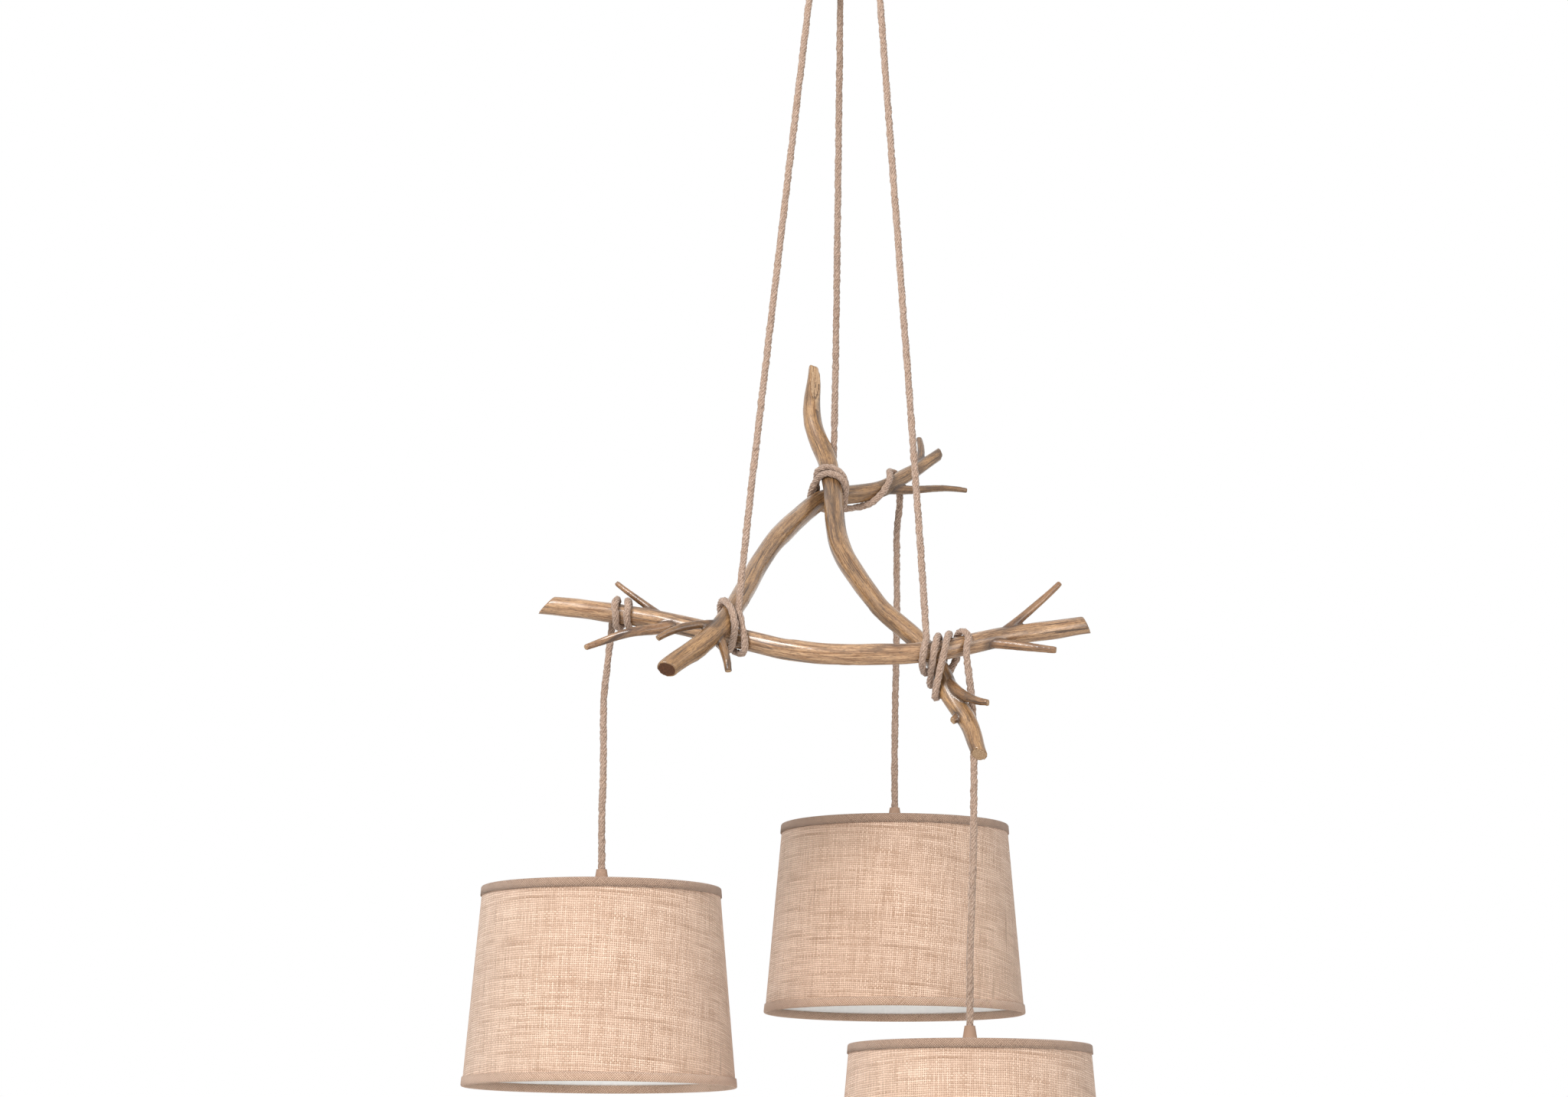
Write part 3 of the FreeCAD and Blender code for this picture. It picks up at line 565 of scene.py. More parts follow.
# %% Group: plain weave
weave, given, out = new_group(
    "plain_weave", {"Point": "Vector", "Pitch": "Float", "Wander": "Float"},
    {"Height": "Float", "Gap": "Float", "Slub": "Float", "Loose": "Float"})
on_cloth = weave.split(given["Point"])
widest_wander = 6.0
thread_shift = (3.7, 11.0)


def across_threads(axis):
    """Position across the threads in thread widths, with a slow wander."""
    wave = weave.cloudy(given["Point"], 30.0 * (1 + axis), 2.0)
    bend = weave.times(weave.calc("SUBTRACT", wave, 0.5), given["Wander"])
    return weave.plus(weave.calc("DIVIDE", on_cloth[axis], given["Pitch"]), weave.times(bend, widest_wander))


def by_thread(axis, along_scale):
    """Noise that runs along each thread and is a new one on the next thread."""
    along = weave.times(on_cloth[1 - axis], along_scale)
    thread = weave.times(weave.calc("FLOOR", thread_places[axis]), thread_shift[0])
    return weave.cloudy(weave.add("CombineXYZ", (along, thread, thread_shift[1] * axis)), 1.0, 2.0, 0.6)


def threads(own, other, over, slub, thin, thick):
    """Height of one direction's threads: round, lower where they dive under, and thick at a slub."""
    above = weave.times(weave.calc("SIGN", own), other)
    form = weave.times(weave.calc("ABSOLUTE", own), weave.calc("MULTIPLY_ADD", above, over, 0.58))
    return weave.times(form, weave.ranged(slub, 0.3, 0.7, thin, thick))


thread_places = [across_threads(0), across_threads(1)]
warp_wave, weft_wave = (weave.calc("SINE", weave.times(place, math.pi)) for place in thread_places)
weft_slub, warp_slub = by_thread(1, 16.0), by_thread(0, 24.0)
warp = threads(warp_wave, weft_wave, 0.42, warp_slub, 0.8, 1.15)
weft = threads(weft_wave, warp_wave, -0.42, weft_slub, 0.75, 1.25)
cloth_height = weave.calc("MAXIMUM", warp, weft)
weft_on_top = weave.calc("GREATER_THAN", weft, warp)
warp_on_top = weave.calc("SUBTRACT", 1.0, weft_on_top)
loose = weave.calc("MAXIMUM", by_thread(1, 8.0), weave.times(by_thread(0, 11.0), 0.94))
weave.feed(out["Height"], cloth_height)
weave.feed(out["Gap"], weave.ranged(cloth_height, 0.55, 0.18))
weave.feed(out["Slub"], weave.plus(weave.times(weft_on_top, weft_slub), weave.times(warp_on_top, warp_slub)))
weave.feed(out["Loose"], weave.ranged(loose, 0.58, 0.72))
print("group plain_weave:", len(weave.tree.nodes), "nodes")

# %% [markdown]
# Paint, metal and plastic that has been handled shows smudges and a few fine scratches. Both only change
# the tone and the shine a little, so the group puts out masks, and each material uses them in its own way.

# %% Group: handling wear
wear, given, out = new_group("handling_wear", {"Point": "Vector", "Size": "Float"},
                             {"Smudge": "Float", "Scratch": "Float", "Grain": "Float"})
smudge = wear.cloudy(given["Point"], given["Size"], 4.0, 0.6, 0.5)
scratch = wear.cloudy(given["Point"], (40, 900, 220), 2.0, 0.5, 1.2)
wear.feed(out["Smudge"], wear.ranged(smudge, 0.35, 0.7))
wear.feed(out["Scratch"], wear.ranged(scratch, 0.68, 0.76))
wear.feed(out["Grain"], wear.cloudy(given["Point"], 2600.0, 2.0))
print("group handling_wear:", len(wear.tree.nodes), "nodes")

# %% Materials: wood
rim_width = 1.6 * MM
rim_tone = (204, 168, 128)


def peeled_wood(name, pale, brown, dark, darkness):
    material, wires, shader = new_material(name, specular_ior_level=0.4, coat_weight=0.8, coat_roughness=0.2)
    grain = wires.effect(wood, Point=wires.attribute("grain"), Pale=pale, Brown=brown, Dark=dark,
                         Darkness=darkness, Crease=wires.attribute("crease_shade", "Fac"))
    wires.feed(shader["Roughness"], grain["Roughness"])
    wires.surface(shader, grain["Color"], grain["Height"], 0.0005, 0.6)
    return material


def sawn_end(name, pale, dark, rim_reach=1.0):
    """End grain: rings round the heart with a rough saw-cut face, and fresh wood beyond the rim's reach."""
    material, wires, shader = new_material(name, roughness=0.8)
    point = wires.attribute("grain")
    _, aside, above = wires.split(point)
    heart = wires.calc("SQRT", wires.plus(wires.calc("POWER", aside, 2.0), wires.calc("POWER", above, 2.0)))
    heart = wires.plus(heart, wires.times(wires.cloudy(point, 180.0), 0.003))
    ring = wires.calc("SINE", wires.times(heart, 5200.0))
    rough = wires.ranged(wires.cloudy(point, 900.0, 4.0, 0.7), 0.3, 0.7)
    share = wires.plus(wires.times(ring, 0.22), rough)
    rim = wires.ranged(heart, rim_reach, rim_reach + rim_width)
    wires.surface(shader, wires.mixed(rim, wires.mixed(share, pale, dark), rim_tone), share, 0.0004, 0.6)
    return material


long_wood = peeled_wood("wood_long_branch", (204, 164, 124), (122, 81, 45), (54, 31, 15), 0.7)
right_wood = peeled_wood("wood_right_branch", (184, 143, 98), (111, 74, 39), (48, 28, 14), 0.66)
left_wood = peeled_wood("wood_left_branch", (179, 139, 95), (103, 69, 37), (46, 27, 14), 0.66)
pared_wood = peeled_wood("wood_pared", (208, 174, 136), (170, 134, 98), (116, 82, 52), 0.1)
dark_end = sawn_end("sawn_end_dark", (112, 66, 32), (50, 27, 11), 10.3 * MM)
pale_end = sawn_end("sawn_end_pale", (198, 168, 134), (140, 106, 74))
print("wood materials:", long_wood.name, right_wood.name, left_wood.name, dark_end.name, pale_end.name)

# %% Materials: rope and cloth
cloth_relief = (0.0012, 0.9)
tape_slant = math.radians(42)

rope_cotton, wires, shader = new_material("rope_cotton", roughness=0.95, sheen_weight=0.35,
                                          specular_ior_level=0.2)
fibres = wires.cloudy(wires.attribute("strand"), (160, 1500, 1), 4.0, 0.65)
felt = wires.cloudy(wires.object_point(), 560.0, 3.0, 0.7)
blotches = wires.ranged(wires.cloudy(wires.object_point(), 75.0, 3.0, 0.6), 0.45, 0.75)
tuft = wires.plus(wires.times(fibres, 0.4), wires.times(felt, 0.6))
tone = wires.mixed(wires.ranged(tuft, 0.38, 0.60), (130, 104, 86), (201, 175, 157))
wires.surface(shader, wires.layered(tone, (blotches, 0.3, (172, 136, 108))), tuft, *cloth_relief)

burlap, wires, shader = new_material("burlap", roughness=0.95, sheen_weight=0.3, specular_ior_level=0.15)
flat_point = wires.add("UVMap")
yarn = wires.effect(weave, Point=flat_point, Pitch=0.0024, Wander=0.16)
patches = wires.cloudy(flat_point, (60, 95, 1), 4.0, 0.65)
open_share = wires.ranged(patches, 0.40, 0.66, 0.6, 1.0)
faded = wires.ranged(wires.cloudy(flat_point, 9.0, 2.0, 0.5), 0.4, 0.7)
tone = wires.mixed(wires.ranged(yarn["Slub"], 0.36, 0.66), (248, 217, 194), (206, 170, 144))
tone = wires.layered(tone, (yarn["Gap"], open_share, (140, 102, 76)), (yarn["Loose"], 0.6, (156, 118, 90)),
                     (faded, 0.3, (208, 176, 154)))
wires.surface(shader, tone, yarn["Height"], *cloth_relief)


def hem_tape(name, pale, brown):
    """The folded tape at a shade's edge: the same weave, finer and cut on the slant."""
    material, wires, shader = new_material(name, roughness=0.95, sheen_weight=0.3, specular_ior_level=0.15)
    slanted = wires.add("Mapping", {"Vector": wires.add("UVMap"), "Rotation": (0, 0, tape_slant)})
    yarn = wires.effect(weave, Point=slanted, Pitch=0.0019, Wander=0.2)
    tone = wires.mixed(wires.ranged(yarn["Slub"], 0.45, 0.75), pale, brown)
    tone = wires.layered(tone, (yarn["Gap"], 0.9, (136, 104, 84)))
    wires.surface(shader, tone, yarn["Height"], *cloth_relief)
    return material


# The top hem's tape is a darker copy of the bottom one: painted shade on the shade's top edge.
hem_tapes = {"top": hem_tape("hem_tape_top_painted_shade", (188, 158, 137), (160, 129, 109)),
             "bottom": hem_tape("hem_tape_bottom", (224, 190, 166), (196, 158, 132))}

liner, wires, shader = new_material("white_liner", roughness=0.6)
speck = wires.cloudy(wires.object_point(), 240.0, 3.0)
tone = wires.mixed(wires.ranged(speck, 0.3, 0.7), (252, 252, 251), (244, 244, 243))
wires.surface(shader, tone, speck, 0.0002, 0.3)
print("cloth materials:", rope_cotton.name, burlap.name, liner.name, "and", len(hem_tapes), "hem tapes")

# %% [markdown]
# The fittings are CAD pieces that keep their shapes, so they only get a finish. One function makes them all
# from a tone, the worn tone, how metallic it is, how rough, and how coarse its surface grain is.

# %% Finishes of the CAD pieces
smudge_size = 60.0
fine_grain, coarse_grain = 0.00002, 0.0001


def handled(name, colour, worn, metallic, roughness, grain_depth):
    """Paint, metal or plastic with smudges, a few scratches and a fine surface grain."""
    material, wires, shader = new_material(name, metallic=metallic)
    marks = wires.effect(wear, Point=wires.object_point(), Size=smudge_size)
    scratches = wires.times(marks["Scratch"], 0.5)
    share = wires.plus(wires.times(marks["Smudge"], 0.35), scratches)
    smudged = wires.ranged(marks["Smudge"], 0.0, 1.0, roughness - 0.06, roughness + 0.1)
    wires.feed(shader["Roughness"], smudged)
    wires.surface(shader, wires.mixed(share, colour, worn), wires.calc("SUBTRACT", marks["Grain"], scratches),
                  grain_depth)
    return material


finishes = [
    ("zinc_plate", (196, 198, 200), (160, 162, 164), 1.0, 0.36, fine_grain,
     ["ceiling_bracket", "canopy_screws"]),
    ("cream_paint", (232, 228, 218), (216, 211, 199), 0.0, 0.34, fine_grain, ["ceiling_canopy"]),
    ("satin_brass", (214, 186, 132), (168, 134, 84), 1.0, 0.32, fine_grain, ["cord_grips", "cord_stops"]),
    ("block_plastic", (230, 228, 220), (212, 209, 200), 0.0, 0.55, fine_grain, ["terminal_block"]),
    ("white_wire_paint", (238, 236, 231), (220, 217, 210), 0.0, 0.3, fine_grain, ["spider"]),
    ("tan_cord_cap", (166, 134, 112), (140, 110, 90), 0.0, 0.7, coarse_grain, ["cord_cap"]),
    ("white_plastic", (238, 235, 229), (222, 218, 210), 0.0, 0.5, fine_grain, ["ring_nut", "lampholder"]),
    ("nickel", (205, 203, 197), (160, 157, 150), 1.0, 0.25, fine_grain, ["bulb_cap"]),
]
finished = []
for *finish, kinds in finishes:
    material = handled(*finish)
    for node in kinds + [f"{kind}_{side}" for kind in kinds for side in sides]:
        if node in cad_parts:
            finished.append(node)
            for material_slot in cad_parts[node].material_slots:
                material_slot.material = material

opal, wires, shader = new_material(
    "opal_glass", roughness=0.12, ior=1.5, coat_weight=0.6, coat_roughness=0.05)
milk = wires.cloudy(wires.object_point(), 40.0, 2.0)
wires.feed(shader["Base Color"], wires.mixed(milk, (246, 244, 238), (236, 233, 225)))
print("finished CAD pieces:", len(finished), "of", len(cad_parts))

# %% [markdown]
# The rope is laid from soft yarns round a core, so smooth that the photograph shows little of its twist.
# Each yarn is a curve of its own that winds round the route's line, and Blender's curve bevel gives it
# its thickness. Two directions that are carried along the line without twisting keep the winding even.
# Small random swellings make the yarn uneven, and inside its grip the rope is held slim.

# %% Lay the ropes
yarn_count = 7
yarn_radius = 1.36 * MM
yarn_offset = 2.58 * MM
lay_length = 34 * MM
rope_step = 1.5 * MM
tuft_length = 3.2 * MM
tuft_swell, tuft_rise = 0.24, 0.10
gripped_length = 36 * MM
gripped_share = 0.88


def carried_sides(places, across):
    """Headings along a line, and two directions square to it that are carried along without twist."""
    heading = np.gradient(places, axis=0)
    heading /= np.linalg.norm(heading, axis=1)[:, None]
    first = np.zeros_like(places)
    carried = np.cross(heading[0], across)
    for k in range(len(places)):
        carried = carried - heading[k] * carried.dot(heading[k])
        carried /= np.linalg.norm(carried)
        first[k] = carried
    return heading, first, np.cross(heading, first)


def laid_rope(name, line):
    """All the yarns of one rope as one mesh."""
    along = marks_along(line)
    marks = np.linspace(0, along[-1], int(along[-1] / rope_step) + 1)
    centre = np.stack([np.interp(marks, along, line[:, axis]) for axis in range(3)], axis=1)
    _, first, second = carried_sides(centre, (0.0, 1.0, 0.0))
    chance = np.random.default_rng(len(marks))
    loose = np.clip(marks / gripped_length - 1, 0, 1)
    data = new_curve(name)
    data.bevel_depth = yarn_radius
    data.bevel_resolution = 1
    data.use_fill_caps = True
    for k in range(yarn_count):
        angle = 2 * math.pi * (k / yarn_count + marks / lay_length)
        tufts = chance.uniform(-1, 1, int(marks[-1] / tuft_length) + 2)
        lumpy = np.interp(marks / tuft_length, np.arange(len(tufts)), tufts) * loose
        offset = yarn_offset * (gripped_share + (1 - gripped_share) * loose + tuft_rise * lumpy)[:, None]
        places = centre + (np.cos(angle)[:, None] * first + np.sin(angle)[:, None] * second) * offset
        spline = data.splines.new("POLY")
        spline.points.add(len(places) - 1)
        spline.points.foreach_set("co", np.column_stack([places, np.ones(len(places))]).ravel())
        spline.points.foreach_set("radius", 1 + tuft_swell * lumpy)
    mesh = curve_mesh(name, data)
    mesh.name = name
    ring = len(mesh.vertices) // (yarn_count * len(marks))
    index = np.arange(len(mesh.vertices))
    strand = np.column_stack([marks[index // ring % len(marks)],
                              (index % ring) / ring * 2 * math.pi * yarn_radius,
                              index // (ring * len(marks))])
    mesh.attributes.new("strand", "FLOAT_VECTOR", "POINT").data.foreach_set("vector", strand.ravel())
    mesh.shade_smooth()
    mesh.materials.clear()
    mesh.materials.append(rope_cotton)
    print(f"{name}: ring of {ring}, {len(mesh.polygons)} faces")
    return add_object(name, mesh)


for side in sides:
    line = rope_lines[side]
    piece = laid_rope(f"hanging_rope_{side}", line)
    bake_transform(piece)
    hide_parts(f"rope_{side}", f"drop_cord_{side}")

# %% [markdown]
# The branches start from copies of their CAD solids, which have the right bends, twigs and saw cuts but
# flat facets. A voxel remesh turns each copy into an even skin and melts the twigs into the stem. Then
# every vertex finds the nearest centreline, moves to that line's round radius, and gets lumps and
# ridges that run with the grain. The saw cuts are made again last, so that they stay crisp.

# %% Helpers for wood
voxel = 1.4 * MM
wood_station = 3.0
crease_width = 5.5 * MM
end_slack = 3 * MM
far_away = 1e9


def add_piece(name, bm, materials, body, nodes=()):
    mesh = bpy.data.meshes.new(name)
    bm.to_mesh(mesh)
    bm.free()
    for material in materials:
        mesh.materials.append(material)
    piece = add_object(name, mesh)
    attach(piece, body)
    if nodes:
        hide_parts(*nodes)
    print(f"{name}: {len(mesh.polygons)} faces")


def even_skin(node, name):
    """A bmesh of a CAD node's form with an even skin of small quads. The node's corners are joined first."""
    bm = bmesh.new()
    bm.from_mesh(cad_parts[node].data)
    bmesh.ops.remove_doubles(bm, verts=bm.verts, dist=1e-6)
    rough = bpy.data.meshes.new(name)
    bm.to_mesh(rough)
    bm.free()
    holder = add_object(name, rough)
    modifier = holder.modifiers.new("even_skin", "REMESH")
    modifier.mode = "VOXEL"
    modifier.voxel_size = voxel
    mesh = bpy.data.meshes.new_from_object(holder.evaluated_get(bpy.context.evaluated_depsgraph_get()))
    bpy.data.objects.remove(holder)
    bpy.data.meshes.remove(rough)
    bm = bmesh.new()
    bm.from_mesh(mesh)
    bpy.data.meshes.remove(mesh)
    return bm


def smoothed(bm, verts, factor, times):
    for _ in range(times):
        bmesh.ops.smooth_vert(bm, verts=verts, factor=factor,
                              use_axis_x=True, use_axis_y=True, use_axis_z=True)


def wood_lines(stem, twigs):
    """Centrelines of a branch in metres: places, headings, two sides and radii."""
    lines = []
    for rows in [stem, *twigs.values()]:
        stations = smooth_line(rows, wood_station)
        places = np.array([in_frame(point) for point, _, _ in stations]) * MM
        radii = np.array([radius for _, _, radius in stations]) * MM
        lines.append((places, *carried_sides(places, (0.0, 0.0, 1.0)), radii))
    return lines


def nearest_line(points, lines):
    """For each point: distance along its line, its two offsets from the line, the line's radius, the
    line's number, how deep it lies in a fork and the direction away from the line."""
    best, runner_up = np.full(len(points), far_away), np.full(len(points), far_away)
    found = [np.zeros(len(points)) for _ in range(5)]
    away = np.zeros((len(points), 3))
    for number, (places, heading, first, second, radii) in enumerate(lines):
        station = marks_along(places)
        nearest = np.array([np.argmin(((places - point) ** 2).sum(1)) for point in points])
        rest = points - places[nearest]
        forward = (rest * heading[nearest]).sum(1)
        rest -= heading[nearest] * forward[:, None]
        distance = np.linalg.norm(rest, axis=1)
        mark = station[nearest] + forward
        radius = np.interp(mark, station, radii)
        depth = distance - radius + np.maximum(np.abs(forward) - end_slack, 0)
        closer = depth < best
        runner_up = np.where(closer, best, np.minimum(runner_up, depth))
        best[closer] = depth[closer]
        values = (mark + number * line_spacing, (rest * first[nearest]).sum(1),
                  (rest * second[nearest]).sum(1), radius, np.full(len(points), number))
        for kept, value in zip(found, values):
            kept[closer] = value[closer]
        away[closer] = (rest / np.maximum(distance, 1e-6)[:, None])[closer]
    return (*found, np.clip(1 - (runner_up - best) / crease_width, 0, 1), away)


print("wood helpers ready")

# %% Shape the branches
lump_size, lump_height = 34 * MM, 0.75
ridge_length, ridge_width, ridge_height = 45 * MM, 3.2 * MM, 0.26
fibre_length, fibre_width, fibre_height = 16 * MM, 1.4 * MM, 0.08
knot_rise, knot_hollow, knot_reach = 0.24, 0.30, 2.5
knot_stretch, hollow_focus = 1.7, 2.6
skin_trust = 1.2 * MM
tip_growth, tip_taper = 11.0 * MM, 0.12
tip_start, tip_blend = 34 * MM, 50 * MM
strip_facing, strip_length, strip_depth = 0.962, 45 * MM, 4 * MM
stem_reach, stem_margin = 30.0 * MM, 0.4 * MM
twig_reach, twig_margin = 10.0 * MM, 0.9 * MM


def knot_height(along, angle, knots):
    """Swellings with a sunk heart where small side shoots once grew."""
    height = 0.0
    for place, turn, size in knots:
        across = math.remainder(angle - math.radians(turn), 2 * math.pi) * stem_radius * MM
        apart = math.hypot((along - place * MM) / knot_stretch, across) / (size * MM)
        if apart < knot_reach:
            hollow = knot_hollow * math.exp(-(apart * hollow_focus) ** 2)
            height += size * (knot_rise * math.exp(-apart ** 2) - hollow)
    return height


def saw(bm, place, outward, margin, reach, end_material):
    """Cuts the end off through place and closes the cut with a face of another material. Only faces
    within reach are cut, because the plane would also slice into a stem that passes near a twig's tip."""
    outward = outward.normalized()
    near = [face for face in bm.faces if (face.calc_center_median() - place).length < reach]
    geometry = set(near)
    for face in near:
        geometry.update(face.edges)
        geometry.update(face.verts)
    cut = bmesh.ops.bisect_plane(bm, geom=list(geometry), dist=1e-6, plane_co=place - outward * margin,
                                 plane_no=outward, clear_outer=True)
    edges = [edge for edge in cut["geom_cut"] if isinstance(edge, bmesh.types.BMEdge) and edge.is_boundary]
    for face in bmesh.ops.contextual_create(bm, geom=edges)["faces"]:
        face.material_index = end_material
        face.smooth = False
        if face.normal.dot(outward) < 0:
            face.normal_flip()


def tip_share(height, place):
    """0 below a pared tip, rising to 1 at its top."""
    return min(max((height - place.z + tip_start) / tip_blend, 0), 1)


def grown_skin(points, lines, knots, seed, pared):
    """How far each vertex moves away from its line, with its grain coordinates, crease and direction."""
    along, first, second, radius, number, creased, away = nearest_line(points, lines)
    distance = np.hypot(first, second)
    trust = np.clip(1.3 - np.abs(distance - radius) / skin_trust, 0, 1)
    shift = (radius - distance) * trust
    for k in range(len(points)):
        turn = math.atan2(second[k], first[k])
        lump = noise.noise(Vector((along[k] / lump_size + seed, math.cos(turn), math.sin(turn))))
        ridge = noise.noise(Vector((along[k] / ridge_length, first[k] / ridge_width,
                                    second[k] / ridge_width + seed)))
        fibre = noise.noise(Vector((along[k] / fibre_length, first[k] / fibre_width,
                                    second[k] / fibre_width)))
        rough = (lump * lump_height + ridge * ridge_height) * min(1.0, radius[k] / (stem_radius * MM) + 0.2)
        knot = knot_height(along[k], turn, knots) if number[k] == 0 else 0
        shift[k] += (rough + fibre * fibre_height + knot) * MM * (0.35 + 0.65 * trust[k])
    for place, _, _ in pared:
        slim = np.array([tip_share(height, place) for height in points[:, 2]])
        shift -= distance * tip_taper * slim * slim * (3 - 2 * slim) * (number == 0)
    return away * shift[:, None], zip(along, first, second), creased


def peeled_branch(name, node, stem, twigs, cuts, knots, materials, seed, pared=()):
    """One branch. A pared place is a worn flat on a tip that is drawn out and rounded off by hand."""
    bm = even_skin(node, name)
    smoothed(bm, bm.verts, 0.5, 6)
    for place, _, _ in pared:
        smoothed(bm, [vertex for vertex in bm.verts if vertex.co.z > place.z + 0.002], 0.5, 26)
        for vertex in bm.verts:
            vertex.co.z += tip_growth * tip_share(vertex.co.z, place) ** 2
    points = np.array([vertex.co[:] for vertex in bm.verts])
    moves, grain, creased = grown_skin(points, wood_lines(stem, twigs), knots, seed, pared)
    for vertex, move in zip(bm.verts, moves):
        vertex.co += Vector(move)
    smoothed(bm, bm.verts, 0.25, 1)
    grain_layer = bm.verts.layers.float_vector.new("grain")
    # The crease mask tells the grain shader where to paint shade in a fork.
    crease_layer = bm.verts.layers.float.new("crease_shade")
    for vertex, coordinates, crease_shade in zip(bm.verts, grain, creased):
        vertex[grain_layer] = coordinates
        vertex[crease_layer] = crease_shade
    for face in bm.faces:
        face.smooth = True
    for cut in cuts:
        saw(bm, *cut)
    bm.normal_update()
    for place, outward, strip_material in pared:
        for face in bm.faces:
            rest = face.calc_center_median() - place
            on_strip = rest.length < strip_length and abs(rest.dot(outward)) < strip_depth
            if on_strip and face.normal.dot(outward) > strip_facing:
                face.material_index = strip_material
    add_piece(name, bm, materials, "frame", (node,))


def beyond_row(row, outward, beyond=0.0):
    """A place so many millimetres beyond a table's row, and the direction that it lies in."""
    outward = Vector(outward).normalized()
    return (in_frame(stem_point(row)) + outward * beyond) * MM, outward


def stem_cut(row, outward, end_material):
    """A saw cut through the place of a table's row."""
    return (*beyond_row(row, outward), stem_margin, stem_reach, end_material)


def twig_cuts(twigs, end_material):
    """A square cut across the tip of each twig."""
    tips = [smooth_line(rows, wood_station)[-1] for rows in twigs.values()]
    return [(in_frame(point) * MM, frame_turn.to_3x3() @ heading, twig_margin, twig_reach, end_material)
            for point, heading, _ in tips]


peeled_branch(
    "peeled_branch_long", "branch_long", long_stem, long_twigs,
    [stem_cut(long_stem[1], (-1, 0, 1), 1), stem_cut(long_stem[-2], (1, 0, 0.5), 1)]
    + twig_cuts(long_twigs, 1),
    [(60, 40, 4.5), (205, 110, 3.5), (300, -60, 5.0), (356, 95, 3.0), (470, 30, 4.0), (560, 150, 4.2)],
    (long_wood, pale_end), 3.1)
peeled_branch(
    "peeled_branch_right", "branch_right", right_stem, right_twigs,
    [stem_cut(right_stem[1], (-0.2, -0.9, -1), 1)] + twig_cuts(right_twigs, 1),
    [(74, 20, 4.5), (190, 85, 5.0), (262, 140, 3.5), (330, 60, 4.5), (452, 100, 4.0), (540, -40, 3.5)],
    (right_wood, pale_end, pared_wood), 7.7, [(*beyond_row(right_stem[-3], (0.62, -0.72, 0.3), 5.0), 2)])
peeled_branch(
    "peeled_branch_left", "branch_left", left_stem, left_twigs,
    [stem_cut(left_stem[1], (-0.3, -0.75, -1), 1), stem_cut(left_stem[-2], (1, 0.5, 0.1), 2)]
    + twig_cuts(left_twigs, 2),
    [(60, 60, 5.0), (168, 20, 4.0), (236, 120, 4.5), (310, -30, 4.5), (402, 80, 3.5), (520, 140, 3.8)],
    (left_wood, dark_end, pale_end), 12.4)

# %% [markdown]
# A shade is one cone of laminated burlap with a white inside, and a tape folded over a wire ring at each
# edge. The straight cloth lies on a cone, so its threads tilt towards the seam. The UV map is the cone
# rolled out flat, in metres, and the weave follows it. Spin turns the wall's outline into the cone.

# %% Shades
spin_steps = 192
wall = 1.6 * MM
edge_inset = 1.2 * MM
shade_narrowing = 19.0 * MM
hem_height = 10.0 * MM
hem_proud = 1.4 * MM
hem_gap = 0.1 * MM
wall_rows = (22, 8)


def spun(outline, centre, steps=spin_steps):
    """A smooth solid of revolution about the vertical through centre."""
    bm = bmesh.new()
    corners = [bm.verts.new((radius, 0, height)) for radius, height in outline]
    edges = [bm.edges.new(pair) for pair in zip(corners, corners[1:] + corners[:1])]
    bmesh.ops.spin(bm, geom=corners + edges, axis=(0, 0, 1), cent=(0, 0, 0), angle=2 * math.pi, steps=steps,
                   use_merge=True)
    bmesh.ops.remove_doubles(bm, verts=bm.verts, dist=1e-7)
    bmesh.ops.recalc_face_normals(bm, faces=bm.faces)
    bmesh.ops.translate(bm, verts=bm.verts, vec=centre)
    for face in bm.faces:
        face.smooth = True
    return bm


def cone_uv(bm, centre, radius_top, radius_bottom, height, seam):
    """Rolls the cone out flat from the side opposite the seam. Distances stay true on the cone."""
    widening = radius_bottom - radius_top
    narrowing = widening / math.hypot(widening, height)
    layer = bm.loops.layers.uv.new("UVMap")

    def turn_of(rest, start):
        return math.remainder(math.atan2(rest.y, rest.x) - seam - math.pi - start, 2 * math.pi)

    for face in bm.faces:
        face_turn = turn_of(face.calc_center_median() - centre, 0)
        for loop in face.loops:
            rest = loop.vert.co - centre
            turn = face_turn + turn_of(rest, face_turn)
            reach = (radius_top - rest.z * widening / height) / narrowing
            loop[layer].uv = (reach * math.sin(turn * narrowing), -reach * math.cos(turn * narrowing))


def top_centre(node):
    """The middle of a node's top, its radius and its height."""
    low, high = (Vector(corner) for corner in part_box(node))
    return Vector(((low.x + high.x) / 2, (low.y + high.y) / 2, high.z)), (high.x - low.x) / 2, high.z - low.z


def graded(start, end, count):
    """Even steps from start to end, both kept."""
    return [tuple(a + (b - a) * k / count for a, b in zip(start, end)) for k in range(count + 1)]


def hem_fold(thick):
    """The folded tape's outline: how far down from the shade's edge, and how far out from the cloth."""
    inside = hem_height * 0.9
    return [(hem_height, thick), (hem_height * 0.5, thick * 1.08), (1.6 * MM, thick * 1.05),
            (0.5 * MM, thick * 0.55), (0.05 * MM, -wall * 0.3), (0.4 * MM, -wall - thick * 0.3),
            (1.5 * MM, -wall - thick * 0.7), (inside, -wall - thick * 0.45), (inside, hem_gap - wall),
            (1.4 * MM, hem_gap - wall), (1.4 * MM, -hem_gap), (hem_height, -hem_gap)]


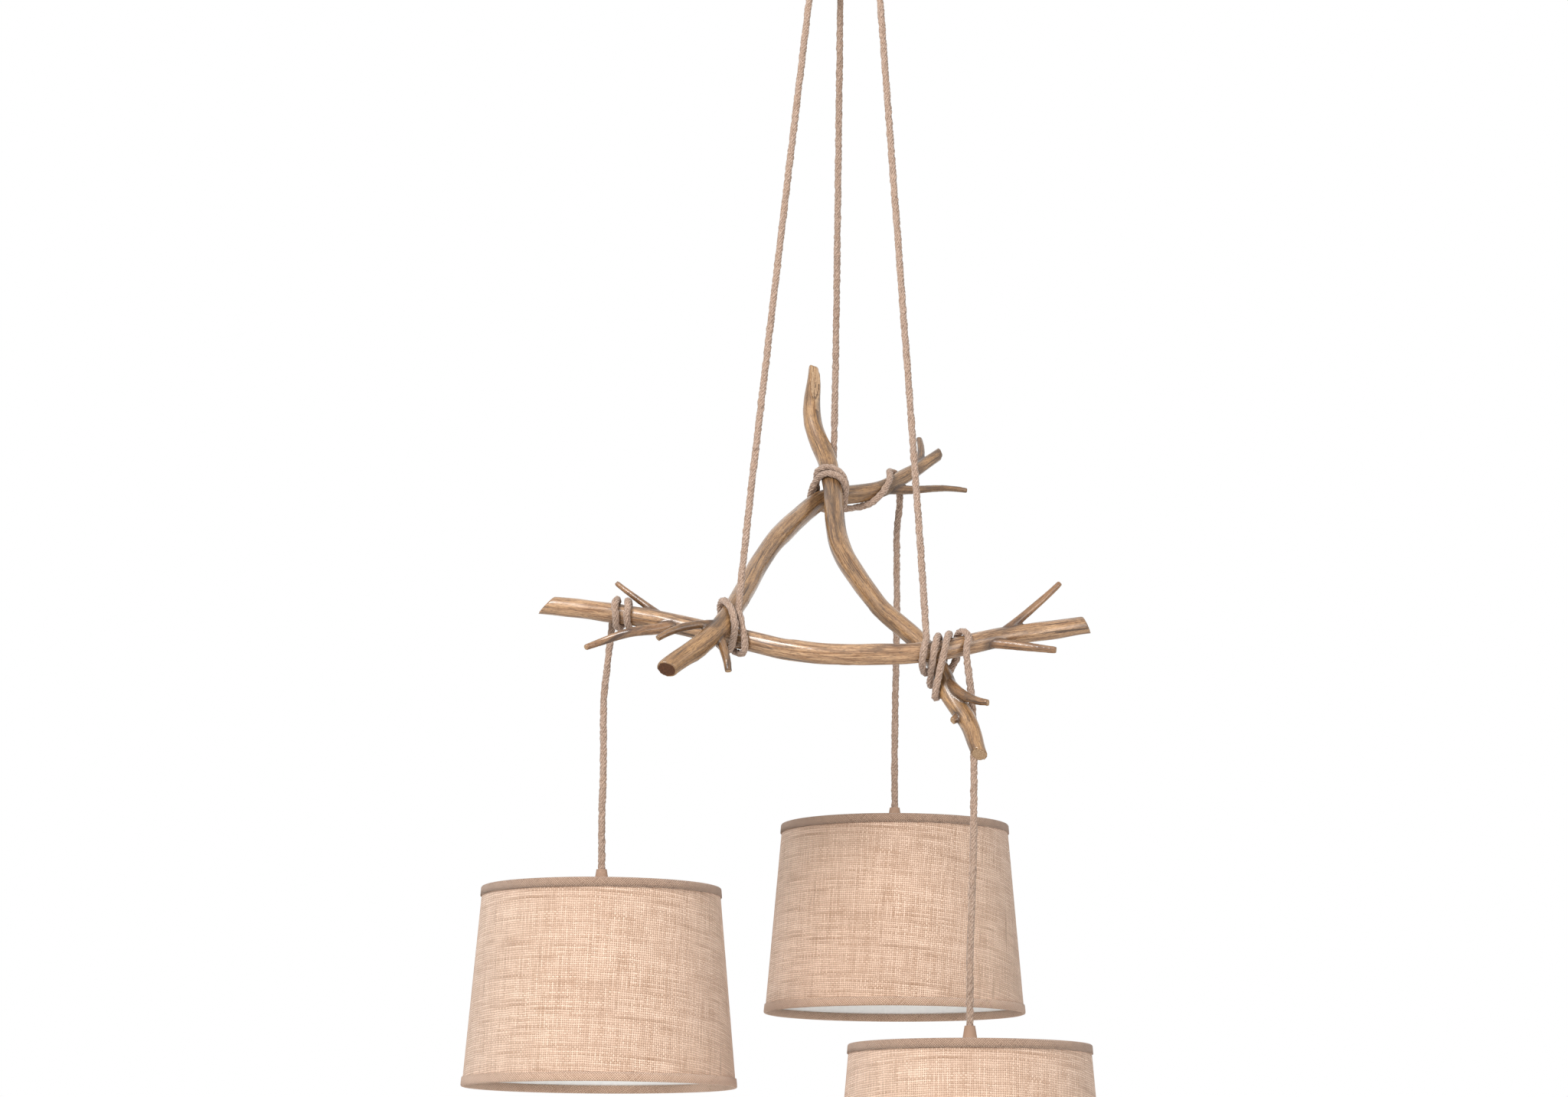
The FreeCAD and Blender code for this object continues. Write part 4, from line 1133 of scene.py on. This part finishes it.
def burlap_shade(side, seam):
    rim, reach, height = top_centre(f"shade_{side}")
    bottom = reach - hem_proud
    top = bottom - shade_narrowing

    def outer(down):
        return top + (bottom - top) * down / height

    down_to = height - edge_inset
    outline = graded((outer(edge_inset), -edge_inset), (outer(down_to), -down_to), wall_rows[0])
    outline += graded((outer(down_to) - wall, -down_to), (outer(edge_inset) - wall, -edge_inset),
                      wall_rows[1])
    bm = spun(outline, rim)
    cone_uv(bm, rim, top, bottom, height, seam)
    for face in bm.faces:
        middle = face.calc_center_median() - rim
        face.material_index = int(math.hypot(middle.x, middle.y) < outer(-middle.z) - wall / 2)
    add_piece(f"burlap_shade_{side}", bm, (burlap, liner), f"lamp_{side}", (f"shade_{side}",))

    # The top hem takes the darker tape, which paints shade on it.
    for name, edge, inwards in (("top", 0.0, 1.0), ("bottom", height, -1.0)):
        downs = [(edge + inwards * depth, stand) for depth, stand in hem_fold(hem_proud)]
        bm = spun([(outer(down) + stand, -down) for down, stand in downs], rim)
        cone_uv(bm, rim, top, bottom, height, seam)
        add_piece(f"shade_hem_{name}_{side}", bm, (hem_tapes[name],), f"lamp_{side}")


seams = {"left": 62.0, "right": 80.0, "back": 45.0}
for side in sides:
    burlap_shade(side, math.radians(seams[side]))

# %% [markdown]
# The bulb is a pear of opal glass. Its outline is a few rows of radius and depth, smoothed by a curve
# through them, and spun. The CAD solid has the same outline with straight steps.

# %% Bulbs
bulb_rows = [(0.40, 0.00), (0.48, 0.18), (0.86, 0.44), (1.00, 0.66), (0.86, 0.87), (0.48, 0.975), (0.0, 1.00)]
bulb_points = 30
bulb_steps = 64


def smooth_rows(rows, count):
    """A smooth outline with these rows as its control points."""
    line = spline_line("outline", [Vector((radius, 0, depth)) for radius, depth in rows])
    share, along = np.linspace(0, 1, count), np.linspace(0, 1, len(line))
    return zip(np.interp(share, along, line[:, 0]), np.interp(share, along, line[:, 2]))


def opal_bulb(side):
    top, radius, length = top_centre(f"bulb_glass_{side}")
    outline = [(0.0, 0.0)] + [(r * radius, -d * length) for r, d in smooth_rows(bulb_rows, bulb_points)]
    outline[-1] = (0.0, -length)
    bm = spun(outline, top, bulb_steps)
    add_piece(f"opal_bulb_{side}", bm, (opal,), f"lamp_{side}", (f"bulb_glass_{side}",))


for side in sides:
    opal_bulb(side)

# %% [markdown]
# A plain studio: a pale floor well below the lamps, a white world that the camera sees as pure white, and
# two large soft lamps. The world gives most of the light, so that colours come out about as written.

# %% Floor, world and lights
floor_height, floor_reach = -2.0, 8.0
floor_mesh = bpy.data.meshes.new("studio_floor")
bm = bmesh.new()
bmesh.ops.create_grid(bm, x_segments=2, y_segments=2, size=floor_reach)
bmesh.ops.translate(bm, verts=bm.verts, vec=(0, 0, floor_height))
bm.to_mesh(floor_mesh)
bm.free()
floor = add_object("studio_floor", floor_mesh)
pale_floor, wires, shader = new_material("pale_floor", roughness=0.9)
wires.feed(shader["Base Color"], (244, 244, 243))
floor_mesh.materials.append(pale_floor)

world = bpy.data.worlds.new("studio_world")
world.use_nodes = True
bpy.context.scene.world = world
world.node_tree.nodes.clear()
sky = Wiring(world.node_tree)
seen = sky.add("Background", {"Color": (1.0, 1.0, 1.0, 1), "Strength": 1.0})
lighting = sky.add("Background", {"Color": (1.0, 0.99, 0.97, 1), "Strength": 0.49})
rays = sky.add("LightPath", (), None)
seen_ray = sky.calc("MAXIMUM", rays["Is Camera Ray"], rays["Is Glossy Ray"])
seen_ray = sky.calc("MAXIMUM", seen_ray, rays["Is Transmission Ray"])
sky.add("OutputWorld", [sky.add("MixShader", (seen_ray, lighting, seen))], None)


def softbox(name, place, aim, size, power):
    data = bpy.data.lights.new(name, "AREA")
    data.shape = "SQUARE"
    data.size = size
    data.energy = power
    light = add_object(name, data)
    light.location = place
    light.rotation_euler = (Vector(aim) - Vector(place)).to_track_quat("-Z", "Y").to_euler()


middle = (-0.06, 0.0, -1.0)
softbox("key_softbox", (-1.7, -2.9, 1.5), middle, 1.4, 148)
softbox("fill_softbox", (2.7, -3.1, -0.5), middle, 2.2, 50)
bpy.context.scene.view_settings.view_transform = "Standard"
print("studio ready")
